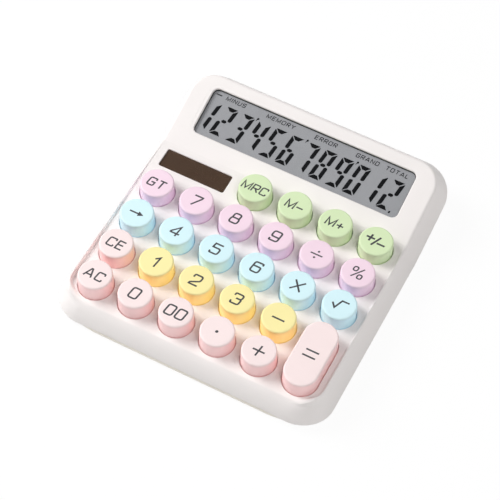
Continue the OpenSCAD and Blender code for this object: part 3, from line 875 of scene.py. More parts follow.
class Letter:
    """Stroke letters on a cell one high: each stroke is a list of corner points.

    A third number on a point scales the rounding of that corner, and 0 keeps
    it sharp. No stroke touches itself, so that a sign's strokes can lie one
    above the other.
    """

    WIDE = 0.72

    @staticmethod
    def strokes() -> dict[str, tuple[float, list[list[tuple[float, ...]]]]]:
        """Width and centre-line strokes of every sign.

        Returns:
            For each sign its width and its strokes; a stroke that ends where
            it starts is closed.
        """
        w = Letter.WIDE
        return {
            "0": (w, [[(0, 0), (w, 0), (w, 1), (0, 1), (0, 0)]]),
            "1": (w * 0.62, [[(0.06, 0.74), (w * 0.5, 1, 0), (w * 0.5, 0)]]),
            "2": (w, [[(0, 0.74), (0, 1), (w, 1), (w, 0.52), (0, 0.14), (0, 0, 0), (w, 0)]]),
            "3": (w, [
                [(0, 0.8), (0, 1), (w, 1), (w, 0.54), (0.28, 0.54)],
                [(w * 0.7, 0.54), (w, 0.54), (w, 0), (0, 0), (0, 0.2)],
            ]),
            "4": (w, [
                [(w * 0.78, 0), (w * 0.78, 1, 0), (0, 0.34, 0.3), (0, 0.24)],
                [(0, 0.24), (w * 1.08, 0.24)],
            ]),
            "5": (w, [[(w, 1), (0.05, 1, 0), (0.02, 0.6, 0), (w, 0.6), (w, 0), (0, 0), (0, 0.17)]]),
            "6": (w, [
                [(w, 0.84), (w, 1), (0, 1), (0, 0), (w, 0), (w, 0.58), (w * 0.5, 0.58)],
                [(w * 0.5, 0.58), (0, 0.58)],
            ]),
            "7": (w, [[(0, 1), (w, 1, 0.2), (w, 0.88, 0.6), (w * 0.3, 0)]]),
            "8": (w, [
                [(0, 0.54), (0, 0), (w, 0), (w, 0.54), (0, 0.54)],
                [(0.06, 0.54), (0.06, 1), (w - 0.06, 1), (w - 0.06, 0.54)],
            ]),
            "9": (w, [
                [(0, 0.17), (0, 0), (w, 0), (w, 1), (0, 1), (0, 0.42), (w * 0.5, 0.42)],
                [(w * 0.5, 0.42), (w, 0.42)],
            ]),
            "A": (w * 1.16, [
                [(0, 0), (w * 0.5, 1, 0), (w * 0.66, 1, 0), (w * 1.16, 0)],
                [(w * 0.16, 0.28), (w, 0.28)],
            ]),
            "C": (w, [[(w, 0.8), (w, 1), (0, 1), (0, 0), (w, 0), (w, 0.2)]]),
            "D": (w, [[(0, 0, 0), (0, 1, 0), (w, 1), (w, 0), (0, 0, 0)]]),
            "E": (w * 0.9, [
                [(w * 0.9, 1), (0, 1, 0), (0, 0, 0), (w * 0.9, 0)],
                [(0, 0.52), (w * 0.82, 0.52)],
            ]),
            "G": (w, [[(w, 0.8), (w, 1), (0, 1), (0, 0), (w, 0), (w, 0.46, 0), (w * 0.5, 0.46)]]),
            "I": (0.0, [[(0, 0), (0, 1)]]),
            "L": (w * 0.8, [[(0, 1), (0, 0, 0), (w * 0.8, 0)]]),
            "M": (w * 1.3, [[(0, 0), (0, 1, 0), (w * 0.65, 0.06, 0), (w * 1.3, 1, 0), (w * 1.3, 0)]]),
            "N": (w, [[(0, 0), (0, 1, 0), (w, 0, 0), (w, 1)]]),
            "O": (w * 1.06, [[(0, 0), (w * 1.06, 0), (w * 1.06, 1), (0, 1), (0, 0)]]),
            "R": (w, [
                [(0, 0), (0, 1, 0), (w, 1), (w, 0.46), (w * 0.4, 0.46)],
                [(w * 0.4, 0.46), (0, 0.46)],
                [(w * 0.45, 0.46), (w, 0)],
            ]),
            "S": (w * 0.95, [[
                (w * 0.95, 0.84), (w * 0.95, 1), (0, 1), (0, 0.52),
                (w * 0.95, 0.52), (w * 0.95, 0), (0, 0), (0, 0.16),
            ]]),
            "T": (w * 1.02, [[(0, 1), (w * 1.02, 1)], [(w * 0.51, 1), (w * 0.51, 0)]]),
            "U": (w, [[(0, 1), (0, 0), (w, 0), (w, 1)]]),
            "X": (w * 1.25, [[(0, 0), (w * 1.25, 1)], [(0, 1), (w * 1.25, 0)]]),
            "Y": (w * 1.1, [[(0, 1), (w * 0.55, 0.45, 0), (w * 1.1, 1)], [(w * 0.55, 0.45), (w * 0.55, 0)]]),
            "-": (w * 0.95, [[(0, 0.42), (w * 0.95, 0.42)]]),
            "+": (w * 0.95, [[(0, 0.42), (w * 0.95, 0.42)], [(w * 0.475, 0.08), (w * 0.475, 0.76)]]),
        }


@dataclass(frozen=True)
class Pen:
    """Nib width, slant and corner rounding for one size of lettering, in millimetres."""

    height: float
    width: float
    slant: float = 8.0
    corner: float = 0.9
    gap: float = 0.42
    lift: float = 0.03
    steps: int = 5
    wide: float = 1.0

    LEAST_TURN = 0.1
    CORNER_SHARE = 0.48
    END_SHARE = 0.4
    MITRE = 0.42
    LAP = 0.004

    def smooth(self, stroke: Sequence[tuple[float, ...]]) -> tuple[list[Point], bool]:
        """Round a stroke's corners.

        Args:
            stroke: Corner points in millimetres, each with an optional factor
                on its rounding.

        Returns:
            The rounded points, and whether the stroke is closed.
        """
        closed = tuple(stroke[0][:2]) == tuple(stroke[-1][:2])
        corners = stroke[:-1] if closed else stroke
        nodes = [Vector((c[0], c[1], 0)) for c in corners]
        out: list[Point] = []
        for i, here in enumerate(nodes):
            radius = self.corner * (corners[i][2] if len(corners[i]) > 2 else 1)
            back, ahead = nodes[i - 1] - here, nodes[(i + 1) % len(nodes)] - here
            turn = math.pi - back.angle(ahead, math.pi)
            is_end = not closed and i in (0, len(nodes) - 1)
            if radius < self.width / 2 or turn < self.LEAST_TURN or is_end:
                out.append((here.x, here.y))
                continue
            most = min(back.length * self.CORNER_SHARE, ahead.length * self.CORNER_SHARE)
            reach = min(radius * math.tan(turn / 2), most)
            first, last = here + back.normalized() * reach, here + ahead.normalized() * reach
            for k in range(self.steps + 1):
                t = k / self.steps
                p = first * (1 - t) ** 2 + here * 2 * t * (1 - t) + last * t ** 2
                out.append((p.x, p.y))
        return out, closed

    def ribbon(self, stroke: Sequence[tuple[float, ...]], level: float) -> Solid:
        """Give a stroke its nib width and thickness, with mitred corners.

        Args:
            stroke: Centre-line points in millimetres.
            level: Extra height that keeps crossing strokes apart.

        Returns:
            Points and faces of a closed thin solid.
        """
        line, closed = self.smooth(stroke)
        count, half = len(line), self.width / 2
        if not closed:
            for end, near in ((0, 1), (-1, -2)):
                (x, y), (from_x, from_y) = line[end], line[near]
                dx, dy = x - from_x, y - from_y
                extra = half * self.END_SHARE / math.hypot(dx, dy)
                line[end] = (x + dx * extra, y + dy * extra)
        top = self.lift + level
        points: list[Triple] = []
        for i, (x, y) in enumerate(line):
            before = Vector(line[i - 1] if closed or i else line[0])
            after = Vector(line[(i + 1) % count] if closed or i < count - 1 else line[-1])
            here = Vector((x, y))
            into = (here - before).normalized() if (here - before).length else (after - here).normalized()
            out = (after - here).normalized() if (after - here).length else into
            mean = (into + out).normalized()
            reach = half / max(mean.dot(into), self.MITRE)
            nx, ny = -mean.y * reach, mean.x * reach
            for side, height in ((1, SUNK), (-1, SUNK), (-1, top), (1, top)):
                points.append((x + side * nx, y + side * ny, height))
        pairs = [(i, (i + 1) % count) for i in range(count if closed else count - 1)]
        faces = [
            [4 * i + k, 4 * j + k, 4 * j + (k + 1) % 4, 4 * i + (k + 1) % 4]
            for i, j in pairs
            for k in range(4)
        ]
        if not closed:
            faces += [[0, 1, 2, 3], [4 * count - k for k in (1, 2, 3, 4)]]
        return points, faces

    def lean(self, parts: Sequence[Solid]) -> Solid:
        """Merge thin solids and slant them about their middle height.

        Args:
            parts: The solids.

        Returns:
            Points and faces of all of them.
        """
        points, faces = merged(parts)
        k = math.tan(math.radians(self.slant))
        return [(x + k * y, y, z) for x, y, z in points], faces

    def word(self, text: str) -> Solid:
        """Set a word, centred on the origin.

        Args:
            text: Signs that Letter knows.

        Returns:
            Points and faces of its thin solids in millimetres.
        """
        table = Letter.strokes()
        across = self.height * self.wide
        total = sum(table[c][0] for c in text) * across + self.gap * self.height * (len(text) - 1)
        x = -total / 2
        parts = []
        for sign in text:
            width, strokes = table[sign]
            for n, stroke in enumerate(strokes):
                moved = [(x + c[0] * across, (c[1] - 0.5) * self.height, *c[2:]) for c in stroke]
                parts.append(self.ribbon(moved, n * self.LAP))
            x += width * across + self.gap * self.height
        return self.lean(parts)

    def lines(self, strokes: Sequence[Stroke], dots: Sequence[Triple], solids: Sequence[Solid]) -> Solid:
        """Draw free strokes, round dots and ready solids, in millimetres about the origin.

        Args:
            strokes: Centre-line points of each stroke.
            dots: Middle and radius of each dot.
            solids: What is added as it is.

        Returns:
            Points and faces of all of them.
        """
        parts = [self.ribbon(stroke, n * self.LAP) for n, stroke in enumerate(strokes)]
        parts += [prism(arc((x, y), radius, 0, 345, 23), SUNK, self.lift) for x, y, radius in dots]
        return self.lean([*parts, *solids])


# ------------------------------------------------------------------ case


@dataclass(frozen=True)
class CaseShape:
    """Named sizes of the case in millimetres, and the way it bends at the crease."""

    half: float = 68.1
    depth: float = 14.2
    lean: float = math.tan(math.radians(21))
    corner: float = 12.6
    front_corner: float = 16.05
    shell: float = 2.0
    tilt: float = 16.0
    top_length: float = 43.5
    run: float = 106.9
    slope: float = math.tan(math.radians(1.4))
    bend: float = 3.0
    crease_y: float = 27.966
    ridge_z: float = 17.4

    @property
    def tangent(self) -> float:
        """Distance from the crease at which the bend begins and ends."""
        return self.bend * math.tan(math.radians(self.tilt / 2))

    def point(self, x: float, s: float, d: float) -> Vector:
        """Place a point given across, along from the crease and down from the ridges.

        Args:
            x: Across, positive to the right.
            s: Along the bent top, positive behind the crease.
            d: Depth below the top.

        Returns:
            The point in metres in the frame's axes.
        """
        tangent = self.tangent
        if s < -tangent:
            y, z = s, -d
        elif s > tangent:
            a = math.radians(self.tilt)
            y, z = s * math.cos(a) + d * math.sin(a), s * math.sin(a) - d * math.cos(a)
        else:
            a = math.radians((s + tangent) / (2 * tangent) * self.tilt)
            y = -tangent + (self.bend + d) * math.sin(a)
            z = self.bend - (self.bend + d) * math.cos(a)
        return Vector((x, self.crease_y + y, self.ridge_z + z)) * MM

    def deck_drop(self, s: float) -> float:
        """Depth of the sunken key deck below the ridges."""
        return max(-s, 0.0) * self.slope

    def front_arc(self, d: float, inset: float = 0.0) -> float:
        """How far the rounded front lies behind the front edge at a depth.

        Args:
            d: Depth below the top.
            inset: Distance in from the outer skin.

        Returns:
            The distance in millimetres.
        """
        radius = self.depth - inset
        up = min(self.depth - d, radius)
        return self.depth - math.sqrt(max(radius * radius - up * up, 0.0))


@dataclass(frozen=True)
class FrontStrip:
    """Thin line of the base that shows under the front edge, fading out toward the corners."""

    half: float = 60.5
    rise: float = 1.1
    gap: float = 0.28
    round: float = 0.9
    fade: float = 15.0
    slab_y: float = 1.45
    tuck: float = 0.6
    end: float = 2.4
    side_columns: int = 40

    def swell(self, x: float) -> float:
        """Share of the strip that stands out at a place across the front."""
        return ease(self.half - abs(x), 0.0, self.fade)

    def build(self, material: Material) -> None:
        """Make the strip between the slab's front and the case's front.

        Args:
            material: The base plastic.
        """
        shell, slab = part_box("upper_case")[0] / MM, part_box("lower_case")[0] / MM
        rear = shell.y + self.slab_y
        low = slab.z + 0.02
        foot = [(1 - math.cos(math.radians(a)), 1 - math.sin(math.radians(a))) for a in (0, 22, 45, 68, 90)]
        loops = []
        for i in range(-self.side_columns, self.side_columns + 1):
            x = (self.half - self.end) * i / self.side_columns
            out = self.swell(x)
            front = rear - 0.05 - (rear - shell.y - 0.1) * out
            top = shell.z - self.gap + self.rise * out
            ring = [(rear + self.tuck, top), (front + 0.25, top), (front, top - 0.25)]
            ring += [(front + self.round * y, low + self.round * z) for y, z in foot]
            ring.append((rear + self.tuck, low))
            loops.append([Vector((x, y, z)) * MM for y, z in ring])
        made = skin("front_strip", loops)
        soften(made, 40)
        dress(made, material, "case")


@dataclass
class BaseTray:
    """Lower case with its front tongue drawn back behind the thin strip."""

    shape: CaseShape
    strip: FrontStrip
    inset: float = 1.2
    slab: float = 2.0
    proud: float = 0.05
    rim: float = 0.6
    below: float = 0.02
    front_end: float = 15.0
    corner_steps: int = 32
    weld: float = 2e-6

    def rim_path(self) -> list[Point]:
        """Edge of the slab from under the strip round the right, the back and the left.

        Returns:
            Places across and along from the crease.
        """
        c = self.shape
        grow = c.depth * c.lean - self.inset
        half = c.half + grow + self.proud
        front, back = self.inset - c.run - self.proud, c.top_length + grow + self.proud
        radius = c.corner + grow + self.proud
        right = [(half - radius - self.front_end, front)]
        right += arc((half - radius, front + radius), radius, -90, 0, self.corner_steps)
        right += [(half, s) for s in (-60, -30, -5, -2, -1, 0, 1, 2, 5)]
        right += arc((half - radius, back - radius), radius, 0, 90, self.corner_steps)
        return right + [(-x, s) for x, s in reversed(right)]

    def edge(self, material: Material) -> None:
        """Make the slab's visible edge as one smooth band.

        Args:
            material: The base plastic.
        """
        path = self.rim_path()
        top = self.shape.depth + self.below
        low = top + self.slab
        loops = []
        for i, (x, s) in enumerate(path):
            before, after = path[max(i - 1, 0)], path[min(i + 1, len(path) - 1)]
            dx, ds = after[0] - before[0], after[1] - before[1]
            size = math.hypot(dx, ds)
            inner = (x - ds / size * self.rim, s + dx / size * self.rim)
            ring = ((x, s, top), (x, s, low), (*inner, low), (*inner, top))
            loops.append([self.shape.point(*place) for place in ring])
        made = skin("tray_rim", loops)
        soften(made, 40)
        dress(made, material, "case")

    def build(self) -> None:
        """Copy the tray, move the tongue's face back to the slab and finish both."""
        material = BASE_PLASTIC.build()
        made = new_object("base_tray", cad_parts["lower_case"].data.copy())
        with editing(made.data) as work:
            bmesh.ops.remove_doubles(work, verts=work.verts, dist=self.weld)
            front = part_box("lower_case")[0].y
            for v in work.verts:
                if v.co.y < front + 0.5 * MM:
                    v.co.y = front + self.strip.slab_y * MM
            bmesh.ops.remove_doubles(work, verts=work.verts, dist=self.weld)
            bmesh.ops.dissolve_degenerate(work, edges=work.edges, dist=self.weld / 2)
        soften(made, 12)
        dress(made, material, "case")
        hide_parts("lower_case")
        self.edge(material)
        self.strip.build(material)


@dataclass(frozen=True)
class Opening:
    """A framed window in the case's top, in millimetres.

    The first five are its width, height, corner radius and middle, across and
    along from the crease. Edge is how far the pane reaches under the lip, seat
    the depth of the pane's upper face, soft the rounding of the lip, ring and
    shelf the width and depth of the shallow rebate round the lip, and slope
    the fall of the deck that the window follows.
    """

    width: float
    height: float
    radius: float
    x: float
    s: float
    edge: float
    seat: float
    soft: float
    ring: float
    shelf: float
    slope: float = 0.0

    def outline(self, out: float) -> list[Point]:
        """Outline grown by a distance, across and along from the crease."""
        grown = rounded(self.width + 2 * out, self.height + 2 * out, self.radius + out)
        return [(self.x + x, self.s + y) for x, y in grown]

    def cutter(self, shape: CaseShape) -> Thing:
        """Make the solid that cuts the opening.

        Args:
            shape: The case.

        Returns:
            The cutter.
        """
        soft = self.soft
        rows = [(self.edge, shape.shell + 1.2), (self.edge, self.seat), (0, self.seat), (0, soft)]
        for a in (20, 40, 60, 76):
            rows.append((soft - soft * math.cos(math.radians(a)), soft - soft * math.sin(math.radians(a))))
        rows += [(soft + self.ring, self.shelf), (soft + self.ring + SPLAY, -CLEAR)]
        return skin("window tool", [
            [shape.point(x, s, depth + max(-s, 0) * self.slope) for x, s in self.outline(out)]
            for out, depth in rows
        ])


DISPLAY_WINDOW = Opening(113.6, 26.2, 3.0, 0, 23.5, 1.6, 1.0, 0.85, 1.3, 0.05)
SOLAR_WINDOW = Opening(36.8, 11.1, 1.0, -44.4, -9.15, 0.8, 0.7, 0.25, 0.6, -0.2, CaseShape.slope)


class Run(Enum):
    """Stretches of the case's outline, from the middle of the front to that of the back."""

    FRONT = "front"
    FRONT_CORNER = "front corner"
    SIDE = "side"
    BACK_CORNER = "back corner"
    BACK = "back"


@dataclass
class CaseShell:
    """Upper case: bent shell with a sunken deck, wells, window and solar opening."""

    shape: CaseShape
    strip: FrontStrip
    wells: list[Triple]
    well_r: float = 8.96
    collar_wall: float = 0.9
    collar_z: float = 12.3
    rim_round: float = 0.42
    ridge_round: float = 0.55
    top_round: float = 1.7
    land: float = 0.66
    wall_end: float = 3.7
    front_end: float = 10.0
    front_gap: float = 0.35
    front_blend: float = 0.09
    top_turn: Point = (-22, 9)
    step_gap: float = 0.12
    step_width: float = 0.4
    step_growth: float = 0.5
    corner_swing: Point = (34, 84)
    fine_from: float = -14
    fine_to: float = 10
    fillet: float = 2.5
    notch_depth: float = 2.6
    notch_columns: int = 24
    wall_rows: int = 14
    arc_steps: int = 6
    step_rows: int = 10
    inner_rows: int = 7
    corner_steps: int = 14
    end_steps: int = 10

    def wall_depths(self) -> list[float]:
        """Depths of the wall's rows, from the lower edge up, even round the front.

        Returns:
            Depths below the ridges.
        """
        depth = self.shape.depth
        high = math.degrees(math.asin(1 - self.wall_end / depth))
        rows = range(self.wall_rows + 1)
        return [depth * (1 - math.sin(math.radians(high * i / self.wall_rows))) for i in rows]

    def side_rows(self, s: float) -> list[tuple[float, float, bool]]:
        """Rows of the side profile at a place along the case.

        Args:
            s: Along from the crease.

        Returns:
            Inward distance from the ridge line, depth, and whether the depth
            is counted from the deck.
        """
        c = self.shape
        drop = c.deck_drop(s)
        share = drop / c.deck_drop(-c.run)
        radius = self.ridge_round + (self.top_round - self.ridge_round) * ease(s, *self.top_turn)
        lean = math.degrees(math.atan(c.lean))
        reach = radius * math.tan(math.radians((90 - lean) / 2))
        rows = [(-c.lean * d, d, False) for d in self.wall_depths()]
        for x, y in arc((reach, radius), radius, 180 + lean, 270, self.arc_steps):
            rows.append((x, y - drop, True))
        start = max(reach, self.land - 0.2) + self.step_gap
        width = self.step_width + self.step_growth * share
        for t in spaced(0, 1, self.step_rows):
            rows.append((start + width * t, -drop * (1 - ease(t, 0, 1)), True))
        rows.append((start + width + 0.5, 0.0, True))
        return rows

    def front_rows(self) -> list[Point]:
        """Rows of the front profile.

        Returns:
            Distance behind the front edge, and depth, which the rows above the
            wall count from the deck.
        """
        c = self.shape
        rows = [(c.front_arc(d), d) for d in self.wall_depths()]
        upper = self.arc_steps + 1 + self.step_rows
        first = rows[-1][0] + self.front_gap
        for i in range(upper + 1):
            t = first + (self.front_end - first) * i / upper
            arc_d = c.depth - math.sqrt(c.depth ** 2 - (c.depth - t) ** 2)
            deck_d = c.deck_drop(t - c.run)
            d = (arc_d + deck_d + math.sqrt((arc_d - deck_d) ** 2 + self.front_blend)) / 2
            rows.append((t, d - deck_d if i < upper else 0.0))
        return rows

    def stations(self) -> list[tuple[Run, float]]:
        """Right half of the outline, from the middle of the front to the middle of the back.

        Returns:
            The stretch of each station, and its place on it.
        """
        c = self.shape
        inner, bend, turns = c.half - c.corner, c.tangent, range(self.corner_steps + 1)
        start, end = c.front_corner - c.run, c.top_length - c.corner
        side = spaced(start, self.fine_from, 14) + spaced(self.fine_from, -bend, 9)[:-1]
        side += [-bend, -bend / 2, 0, bend / 2, bend]
        side += spaced(bend, self.fine_to, 8) + spaced(self.fine_to, end, 4)[:-1]
        out = [(Run.FRONT, inner * i / self.end_steps) for i in range(self.end_steps)]
        out += [(Run.FRONT_CORNER, 90 - 90 * i / self.corner_steps) for i in turns]
        out += [(Run.SIDE, s) for s in side]
        out += [(Run.BACK_CORNER, 90 * i / self.corner_steps) for i in turns]
        out += [(Run.BACK, inner * (1 - i / self.end_steps)) for i in range(1, self.end_steps + 1)]
        return out

    def spot(self, run: Run, value: float, w: float, t: float) -> Point:
        """Place a point of one station, across and along from the crease.

        Args:
            run: Stretch of the outline.
            value: Place on it: across, along, or the angle round a corner.
            w: Distance in from the side or the back.
            t: Distance in from the front edge.

        Returns:
            Across and along from the crease.
        """
        c = self.shape
        if run is Run.FRONT:
            return value, t - c.run
        if run is Run.SIDE:
            return c.half - w, value
        if run is Run.BACK:
            return value, c.top_length - w
        a = math.radians(value)
        x = c.half - c.corner + (c.corner - w) * math.cos(a)
        if run is Run.BACK_CORNER:
            return x, c.top_length - c.corner + (c.corner - w) * math.sin(a)
        return x, c.front_corner - c.run - (c.front_corner - t) * math.sin(a)

    def outer(self, run: Run, value: float) -> list[Triple]:
        """Flat points of one station of the outer skin, lower edge first.

        Args:
            run: Stretch of the outline.
            value: Place on it.

        Returns:
            Across, along from the crease, and depth.
        """
        c = self.shape
        levels = {Run.SIDE: value, Run.BACK_CORNER: c.top_length, Run.BACK: c.top_length}
        swing = {Run.FRONT: 1.0, Run.FRONT_CORNER: ease(value, *self.corner_swing)}.get(run, 0.0)
        rows = self.side_rows(levels.get(run, c.front_corner - c.run))
        out = []
        for (w, d, from_deck), (t, front_d) in zip(rows, self.front_rows()):
            x, s = self.spot(run, value, w, t)
            if from_deck:
                d = c.deck_drop(s) + d * (1 - swing) + front_d * swing
            out.append((x, s, d))
        return out

    def inner(self, run: Run, value: float) -> list[Triple]:
        """Flat points of one station of the inner skin, lower edge first.

        Args:
            run: Stretch of the outline.
            value: Place on it.

        Returns:
            Across, along from the crease, and depth.
        """
        c = self.shape
        levels = {Run.SIDE: value, Run.BACK_CORNER: 0.0, Run.BACK: 0.0}
        roof = c.shell + c.deck_drop(levels.get(run, 2 * c.shell - c.run))
        depths = [c.depth, *spaced(c.depth, roof, self.inner_rows)]
        rows = [(c.shell - c.lean * d, c.front_arc(d, c.shell), d) for d in depths]
        rows.append((c.shell + self.fillet, rows[-1][1] + self.fillet, roof))
        return [(*self.spot(run, value, w, t), d) for w, t, d in rows]

    def closing(self, base: int, last: int) -> list[list[int]]:
        """Faces across the case from its right half to its left, over one end row.

        Args:
            base: First point of the row.
            last: Number of the station in the middle of the back.

        Returns:
            The faces, all turned the same way.
        """
        left = [base + (2 * last - i) % (2 * last) for i in range(last + 1)]
        right = [base + i for i in range(last + 1)]
        first, edge = self.end_steps + 1, last - self.end_steps - 1
        faces = [right[: first + 1] + left[first:0:-1]]
        faces += [[right[i], right[i + 1], left[i + 1], left[i]] for i in range(first, edge)]
        return faces + [right[edge:] + list(reversed(left[edge:last]))]

    def blank(self) -> Thing:
        """Closed shell without its openings.

        Returns:
            The shell.
        """
        half = self.stations()
        columns = [self.outer(*place)[::-1] + self.inner(*place) for place in half]
        last, rows = len(half) - 1, len(columns[0])
        count = 2 * last
        points = []
        for r in range(rows):
            for i in range(count):
                x, s, d = columns[min(i, count - i)][r]
                points.append(self.shape.point(x if i <= last else -x, s, d))
        faces = walls(rows, count) + self.closing(0, last)
        faces += [face[::-1] for face in self.closing((rows - 1) * count, last)]
        made = mesh_object("upper_shell", points, faces)
        face_out(made)
        return made

    def capsule(
        self, well: Triple, radius: float, rise: float, on_deck: bool = True, steps: int = 72
    ) -> Loop:
        """Loop round a well.

        Args:
            well: Its place across and along, and its span.
            radius: Radius of its round ends.
            rise: Height of the loop.
            on_deck: Whether that height is above the deck, which slopes.
            steps: Points in the loop.

        Returns:
            The loop in metres.
        """
        x, y, span = well
        c = self.shape
        out = []
        for i in range(steps):
            a = math.tau * (i + 0.5) / steps
            py = y + radius * math.sin(a) + (span if math.sin(a) > 0 else 0)
            deck = c.ridge_z - c.deck_drop(py - c.crease_y) if on_deck else 0.0
            out.append(Vector((x + radius * math.cos(a), py, deck + rise)) * MM)
        return out

    def collars(self) -> Thing:
        """Tubes that hang below the deck round every well.

        Returns:
            All tubes as one object.
        """
        radius = self.well_r + self.collar_wall
        return joined("collars", [
            skin(FREE_NAME, [
                self.capsule(well, radius, self.collar_z, False, 48),
                self.capsule(well, radius, -1, True, 48),
            ])
            for well in self.wells
        ])

    def well_tools(self) -> Thing:
        """Cutters for the wells, with a rounded upper rim.

        Returns:
            All cutters as one object.
        """
        r = self.rim_round
        turns = [math.radians(a) for a in (0, 20, 40, 60, 78)]
        rows = [(self.well_r + r - r * math.cos(a), -r + r * math.sin(a)) for a in turns]
        wide = self.well_r + r + SPLAY
        rows += [(wide, CLEAR), (wide, 3)]
        return joined("well tools", [
            skin(FREE_NAME, [
                self.capsule(well, self.well_r, self.collar_z - 1, False),
                *(self.capsule(well, radius, rise) for radius, rise in rows),
            ])
            for well in self.wells
        ])

    def notch(self) -> Thing:
        """Cutter for the slot in the front edge that shows the base strip.

        Returns:
            The cutter.
        """
        lo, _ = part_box("upper_case")
        base = Vector((0, lo.y, lo.z))
        loops = []
        for i in range(-self.notch_columns, self.notch_columns + 1):
            x = self.strip.half * i / self.notch_columns
            rise = self.strip.rise * self.strip.swell(x) + 0.02
            ring = ((-1, -1), (-1, rise), (self.notch_depth, rise), (self.notch_depth, -1))
            loops.append([base + Vector((x, y, z)) * MM for y, z in ring])
        return skin("notch tool", loops)

    def build(self) -> None:
        """Cut the shell and finish it."""
        made = self.blank()
        combine(made, self.collars(), "UNION")
        combine(made, self.well_tools(), "DIFFERENCE")
        combine(made, DISPLAY_WINDOW.cutter(self.shape), "DIFFERENCE")
        combine(made, SOLAR_WINDOW.cutter(self.shape), "DIFFERENCE")
        combine(made, self.notch(), "DIFFERENCE")
        soften(made, 32)
        dress(made, CASE_PLASTIC.build(), "case")
        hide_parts("upper_case")


# ------------------------------------------------------------------ keys


@dataclass(frozen=True)
class Legend:
    """What a key says: a word, or free strokes, dots and an arrow head in millimetres."""

    word: str = ""
    pen: Pen = Pen(6, 0.86, 8, 0.1)
    strokes: tuple[Stroke, ...] = ()
    dots: tuple[Triple, ...] = ()
    head: tuple[Point, ...] = ()
    head_top: float = 0.036

    def solid(self) -> Solid:
        """Points and faces of the whole legend in millimetres.

        Returns:
            Points and faces, from the middle of the legend.
        """
        if self.word:
            return self.pen.word(self.word)
        heads = [prism(self.head, SUNK, self.head_top)] if self.head else []
        return self.pen.lines(self.strokes, self.dots, heads)


def digit(sign: str) -> Legend:
    """A large digit."""
    return Legend(sign, Pen(5.85, 0.86, 8, 1.15))


KEY_CAPS: dict[str, tuple[Tint, Legend]] = {
    "ac": (Tint.PINK, Legend("AC", Pen(4.7, 0.8, 8, 0.85, 0.4))),
    "0": (Tint.PINK, digit("0")),
    "00": (Tint.PINK, Legend("00", Pen(5.6, 0.86, 8, 1.15, 0.3))),
    "point": (Tint.PINK, Legend(dots=((0, -0.1, 0.75),))),
    "plus": (Tint.PINK, Legend(strokes=(((-2.9, 0), (2.9, 0)), ((0, -2.9), (0, 2.9))))),
    "equals": (Tint.PINK, Legend(pen=Pen(6, 0.85, 8, 0.1), strokes=(
        ((-3.15, 1.55), (3.15, 1.55)), ((-3.15, -1.85), (3.15, -1.85)),
    ))),
    "ce": (Tint.PINK, Legend("CE", Pen(4.75, 0.8, 8, 0.85, 0.34))),
    **{sign: (Tint.YELLOW, digit(sign)) for sign in "123"},
    "minus": (Tint.YELLOW, Legend(strokes=(((-2.85, -0.5), (3.25, -0.5)),))),
    "backspace": (Tint.CYAN, Legend(
        pen=Pen(6, 0.85, 0, 0.1),
        strokes=(((-3.5, 0), (1.8, 0)),),
        head=((0.9, -1.45), (3.8, 0), (0.9, 1.45)),
    )),
    **{sign: (Tint.CYAN, digit(sign)) for sign in "456"},
    "times": (Tint.CYAN, Legend("X", Pen(5.6, 0.86, 8, 0.1))),
    "root": (Tint.CYAN, Legend(pen=Pen(6, 0.85, 4, 0.1), strokes=(
        ((-3.35, -0.1), (-1.35, -2.4), (0.35, 2.5), (3.85, 2.55)),
    ))),
    "grand_total": (Tint.LAVENDER, Legend("GT", Pen(4.6, 0.8, 8, 0.85, 0.4))),
    **{sign: (Tint.LAVENDER, digit(sign)) for sign in "789"},
    "divide": (Tint.LAVENDER, Legend(
        pen=Pen(6, 0.72, 8, 0.1), strokes=(((-3, 0), (3, 0)),), dots=((0.1, 1.95, 0.55), (-0.1, -1.95, 0.55)),
    )),
    "percent": (Tint.LAVENDER, Legend(pen=Pen(6, 0.7, 8, 0.9), strokes=(
        ((-1.9, -3), (1.9, 3)),
        ((-3, 0.6), (-0.9, 0.6), (-0.9, 3), (-3, 3), (-3, 0.6)),
        ((0.9, -3), (3, -3), (3, -0.6), (0.9, -0.6), (0.9, -3)),
    ))),
    "memory_recall": (Tint.GREEN, Legend("MRC", Pen(4.3, 0.72, 8, 0.75, 0.3))),
    "memory_minus": (Tint.GREEN, Legend("M-", Pen(4.5, 0.78, 8, 0.3, 0.3))),
    "memory_plus": (Tint.GREEN, Legend("M+", Pen(4.5, 0.78, 8, 0.3, 0.3))),
    "sign": (Tint.GREEN, Legend(pen=Pen(5, 0.98, 8, 0.1), strokes=(
        ((-5.3, 0.9), (-1.3, 0.9)), ((-3.3, -1), (-3.3, 2.8)),
        ((-1, -2.8), (1, 2.8)), ((1.1, -0.9), (4.9, -0.9)),
    ))),
}


